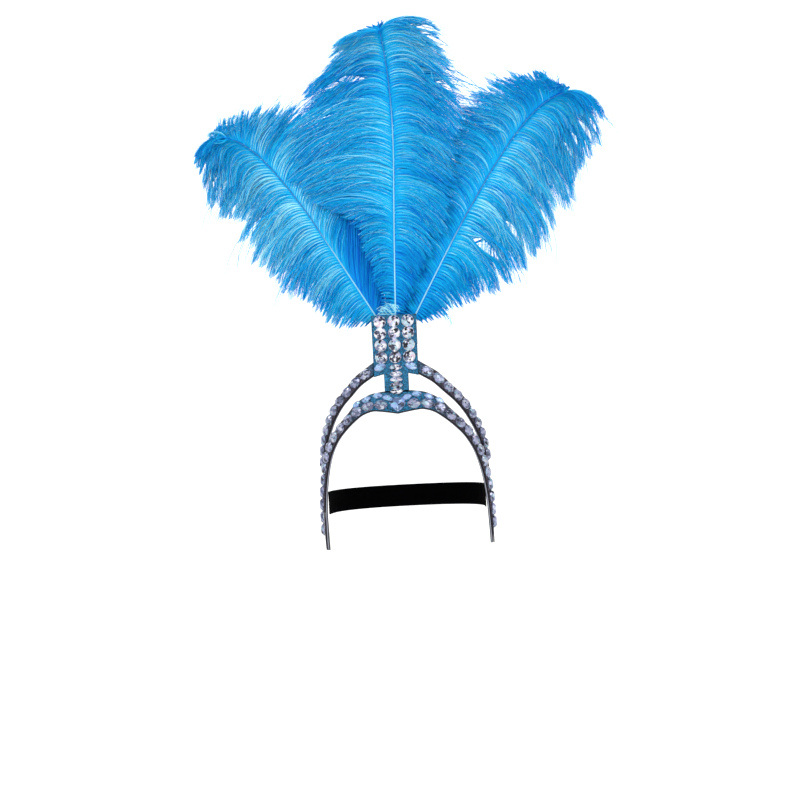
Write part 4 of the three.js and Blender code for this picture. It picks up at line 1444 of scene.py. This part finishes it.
# The strap: a strip of elastic round the back, laid out flat in its own UVs in metres
def makeStrap():
    half = np.array(strap["half"], float)
    both = np.concatenate([half[:0:-1] * (-1, 1), half])
    line = smoothLine(np.column_stack([both, np.zeros(len(both))]), 10)
    along = unit(np.gradient(line, axis=0))
    inwards = np.stack([along[:, 1], -along[:, 0], np.zeros(len(line))], -1) * strap["inwards"]
    distance = np.concatenate([[0], np.cumsum(np.linalg.norm(np.diff(line, axis=0), axis=1))])
    heights = np.linspace(-0.5, 0.5, strap["rows"] + 1) * strap["height"]
    points = (line + inwards)[:, None] + np.array([0, 0, 1.0]) * heights[None, :, None]
    size = len(heights)
    faces = [
        (r * size + i, (r + 1) * size + i, (r + 1) * size + i + 1, r * size + i + 1)
        for r in range(len(line) - 1)
        for i in range(size - 1)
    ]
    piece = solidPiece("elastic_strap", points.reshape(-1, 3), faces, makeElasticMaterial())
    lay = piece.data.uv_layers.new(name="lay")
    flat = np.stack([np.repeat(distance, size), np.tile(heights, len(line))], -1) * mm
    corner = np.array([v for face in faces for v in face])
    lay.data.foreach_set("uv", flat[corner].astype(np.float32).ravel())
    applyModifier(piece, "SOLIDIFY", thickness=strap["thickness"] * mm, offset=0.0)
    finishPiece(piece, "elastic", "back_strap")
    print("strap length", round(distance[-1], 1), "mm")


pocket = {"halfWidth": 23.6, "bottom": 64.0, "top": 93.0, "depth": 14.4, "gap": 0.3, "round": 2.2}
stitch = {"pitch": 3.6, "length": 2.4, "width": 0.5, "inset": 2.6, "seams": (-8.0, 8.0), "round": 0.15}


# The pocket for the quills
def makePocket():
    deselectAll()
    bpy.ops.mesh.primitive_cube_add(size=1)
    piece = bpy.context.active_object
    piece.name = "pocket_casing"
    corners = np.array([v.co for v in piece.data.vertices])
    height = pocket["top"] - pocket["bottom"]
    corners *= (2 * pocket["halfWidth"], pocket["depth"], height)
    corners += (0, pocket["gap"] + pocket["depth"] / 2, pocket["bottom"] + height / 2)
    piece.data.vertices.foreach_set("co", (toWorld(corners) * mm).astype(np.float32).ravel())
    piece.data.materials.append(edgeMaterial)
    applyModifier(piece, "BEVEL", width=pocket["round"] * mm, segments=4)
    piece.data.polygons.foreach_set("use_smooth", np.full(len(piece.data.polygons), True))
    paintPoints(piece, "pipingHighlightAndStitches", np.zeros((len(piece.data.vertices), 3)))
    finishPiece(piece, "padded_edge", "quill_pocket")


# Two rows of stitches across the pocket's back, and a seam between each two quills
def makeStitches():
    back = pocket["gap"] + pocket["depth"]
    reach, pitch = pocket["halfWidth"] - stitch["inset"], stitch["pitch"]
    low, high = pocket["bottom"] + stitch["inset"], pocket["top"] - stitch["inset"]
    places = [(x, z, True) for z in (low, high) for x in np.arange(-reach, reach, pitch)]
    places += [(x, z, False) for x in stitch["seams"] for z in np.arange(low + pitch, high - 1, pitch)]
    corners = np.array([(i, j, k) for k in (-1, 1) for j in (-1, 1) for i in (-1, 1)]) / 2
    box = np.array([(0, 2, 3, 1), (4, 5, 7, 6), (0, 1, 5, 4), (2, 6, 7, 3), (0, 4, 6, 2), (1, 3, 7, 5)])
    points, faces = [], []
    for x, z, level in places:
        across, upwards = (stitch["length"], stitch["width"])[:: 1 if level else -1]
        faces += (box + len(points)).tolist()
        points += [*(corners * (across, stitch["width"], upwards) + (x, back, z))]
    piece = solidPiece("pocket_stitches", toWorld(np.array(points)), faces, edgeMaterial, smooth=False)
    faceOutwards(piece)
    applyModifier(piece, "BEVEL", width=stitch["round"] * mm, segments=2)
    paintPoints(piece, "pipingHighlightAndStitches", np.ones((len(piece.data.vertices), 3)))
    finishPiece(piece, "padded_edge", "quill_pocket")


makeStrap()
makePocket()
makeStitches()
print("strap and pocket done")

room = {"floor": -0.30, "back": 3.6, "front": -3.4, "halfWidth": 4.0, "height": 3.2, "curve": 0.9}


def makeRoom():
    material, tree, shader = newMaterial("paleFloor", **{"Roughness": 0.9, "Base Color": (0.9, 0.9, 0.89, 1)})
    steps = 16
    turn = np.linspace(0, np.pi / 2, steps)
    r = room["curve"]
    profile = [(room["front"], room["floor"])]
    profile += [(room["back"] - r + r * math.sin(t), room["floor"] + r - r * math.cos(t)) for t in turn]
    profile += [(room["back"], room["height"])]
    points = [(x, y, z) for y, z in profile for x in (-room["halfWidth"], room["halfWidth"])]
    faces = [(2 * k, 2 * k + 1, 2 * k + 3, 2 * k + 2) for k in range(len(profile) - 1)]
    floor = meshPiece("floor", np.array(points) / mm, faces, material)


def addArea(name, place, aim, size, power):
    data = bpy.data.lights.new(name, "AREA")
    data.shape = "RECTANGLE"
    data.size, data.size_y = size
    data.energy = power
    light = bpy.data.objects.new(name, data)
    bpy.context.scene.collection.objects.link(light)
    light.location = place
    light.rotation_euler = (Vector(aim) - Vector(place)).to_track_quat("-Z", "Y").to_euler()


def makeLight():
    world = bpy.data.worlds.new("studio")
    world.use_nodes = True
    background = world.node_tree.nodes["Background"]
    background.inputs["Color"].default_value = (0.95, 0.97, 1.0, 1)
    background.inputs["Strength"].default_value = 0.75
    bpy.context.scene.world = world
    addArea("keyLight", (-1.3, -2.2, 1.9), (0, 0, 0.2), (1.4, 1.4), 42)
    addArea("fillLight", (1.8, -2.0, 0.8), (0, 0, 0.2), (1.6, 1.6), 18)
    addArea("backLight", (0, 2.3, 2.7), (0, 3.4, 0.3), (4.0, 1.2), 70)


makeRoom()
makeLight()
bpy.context.scene.view_settings.view_transform = "Standard"
print("room and light ready")
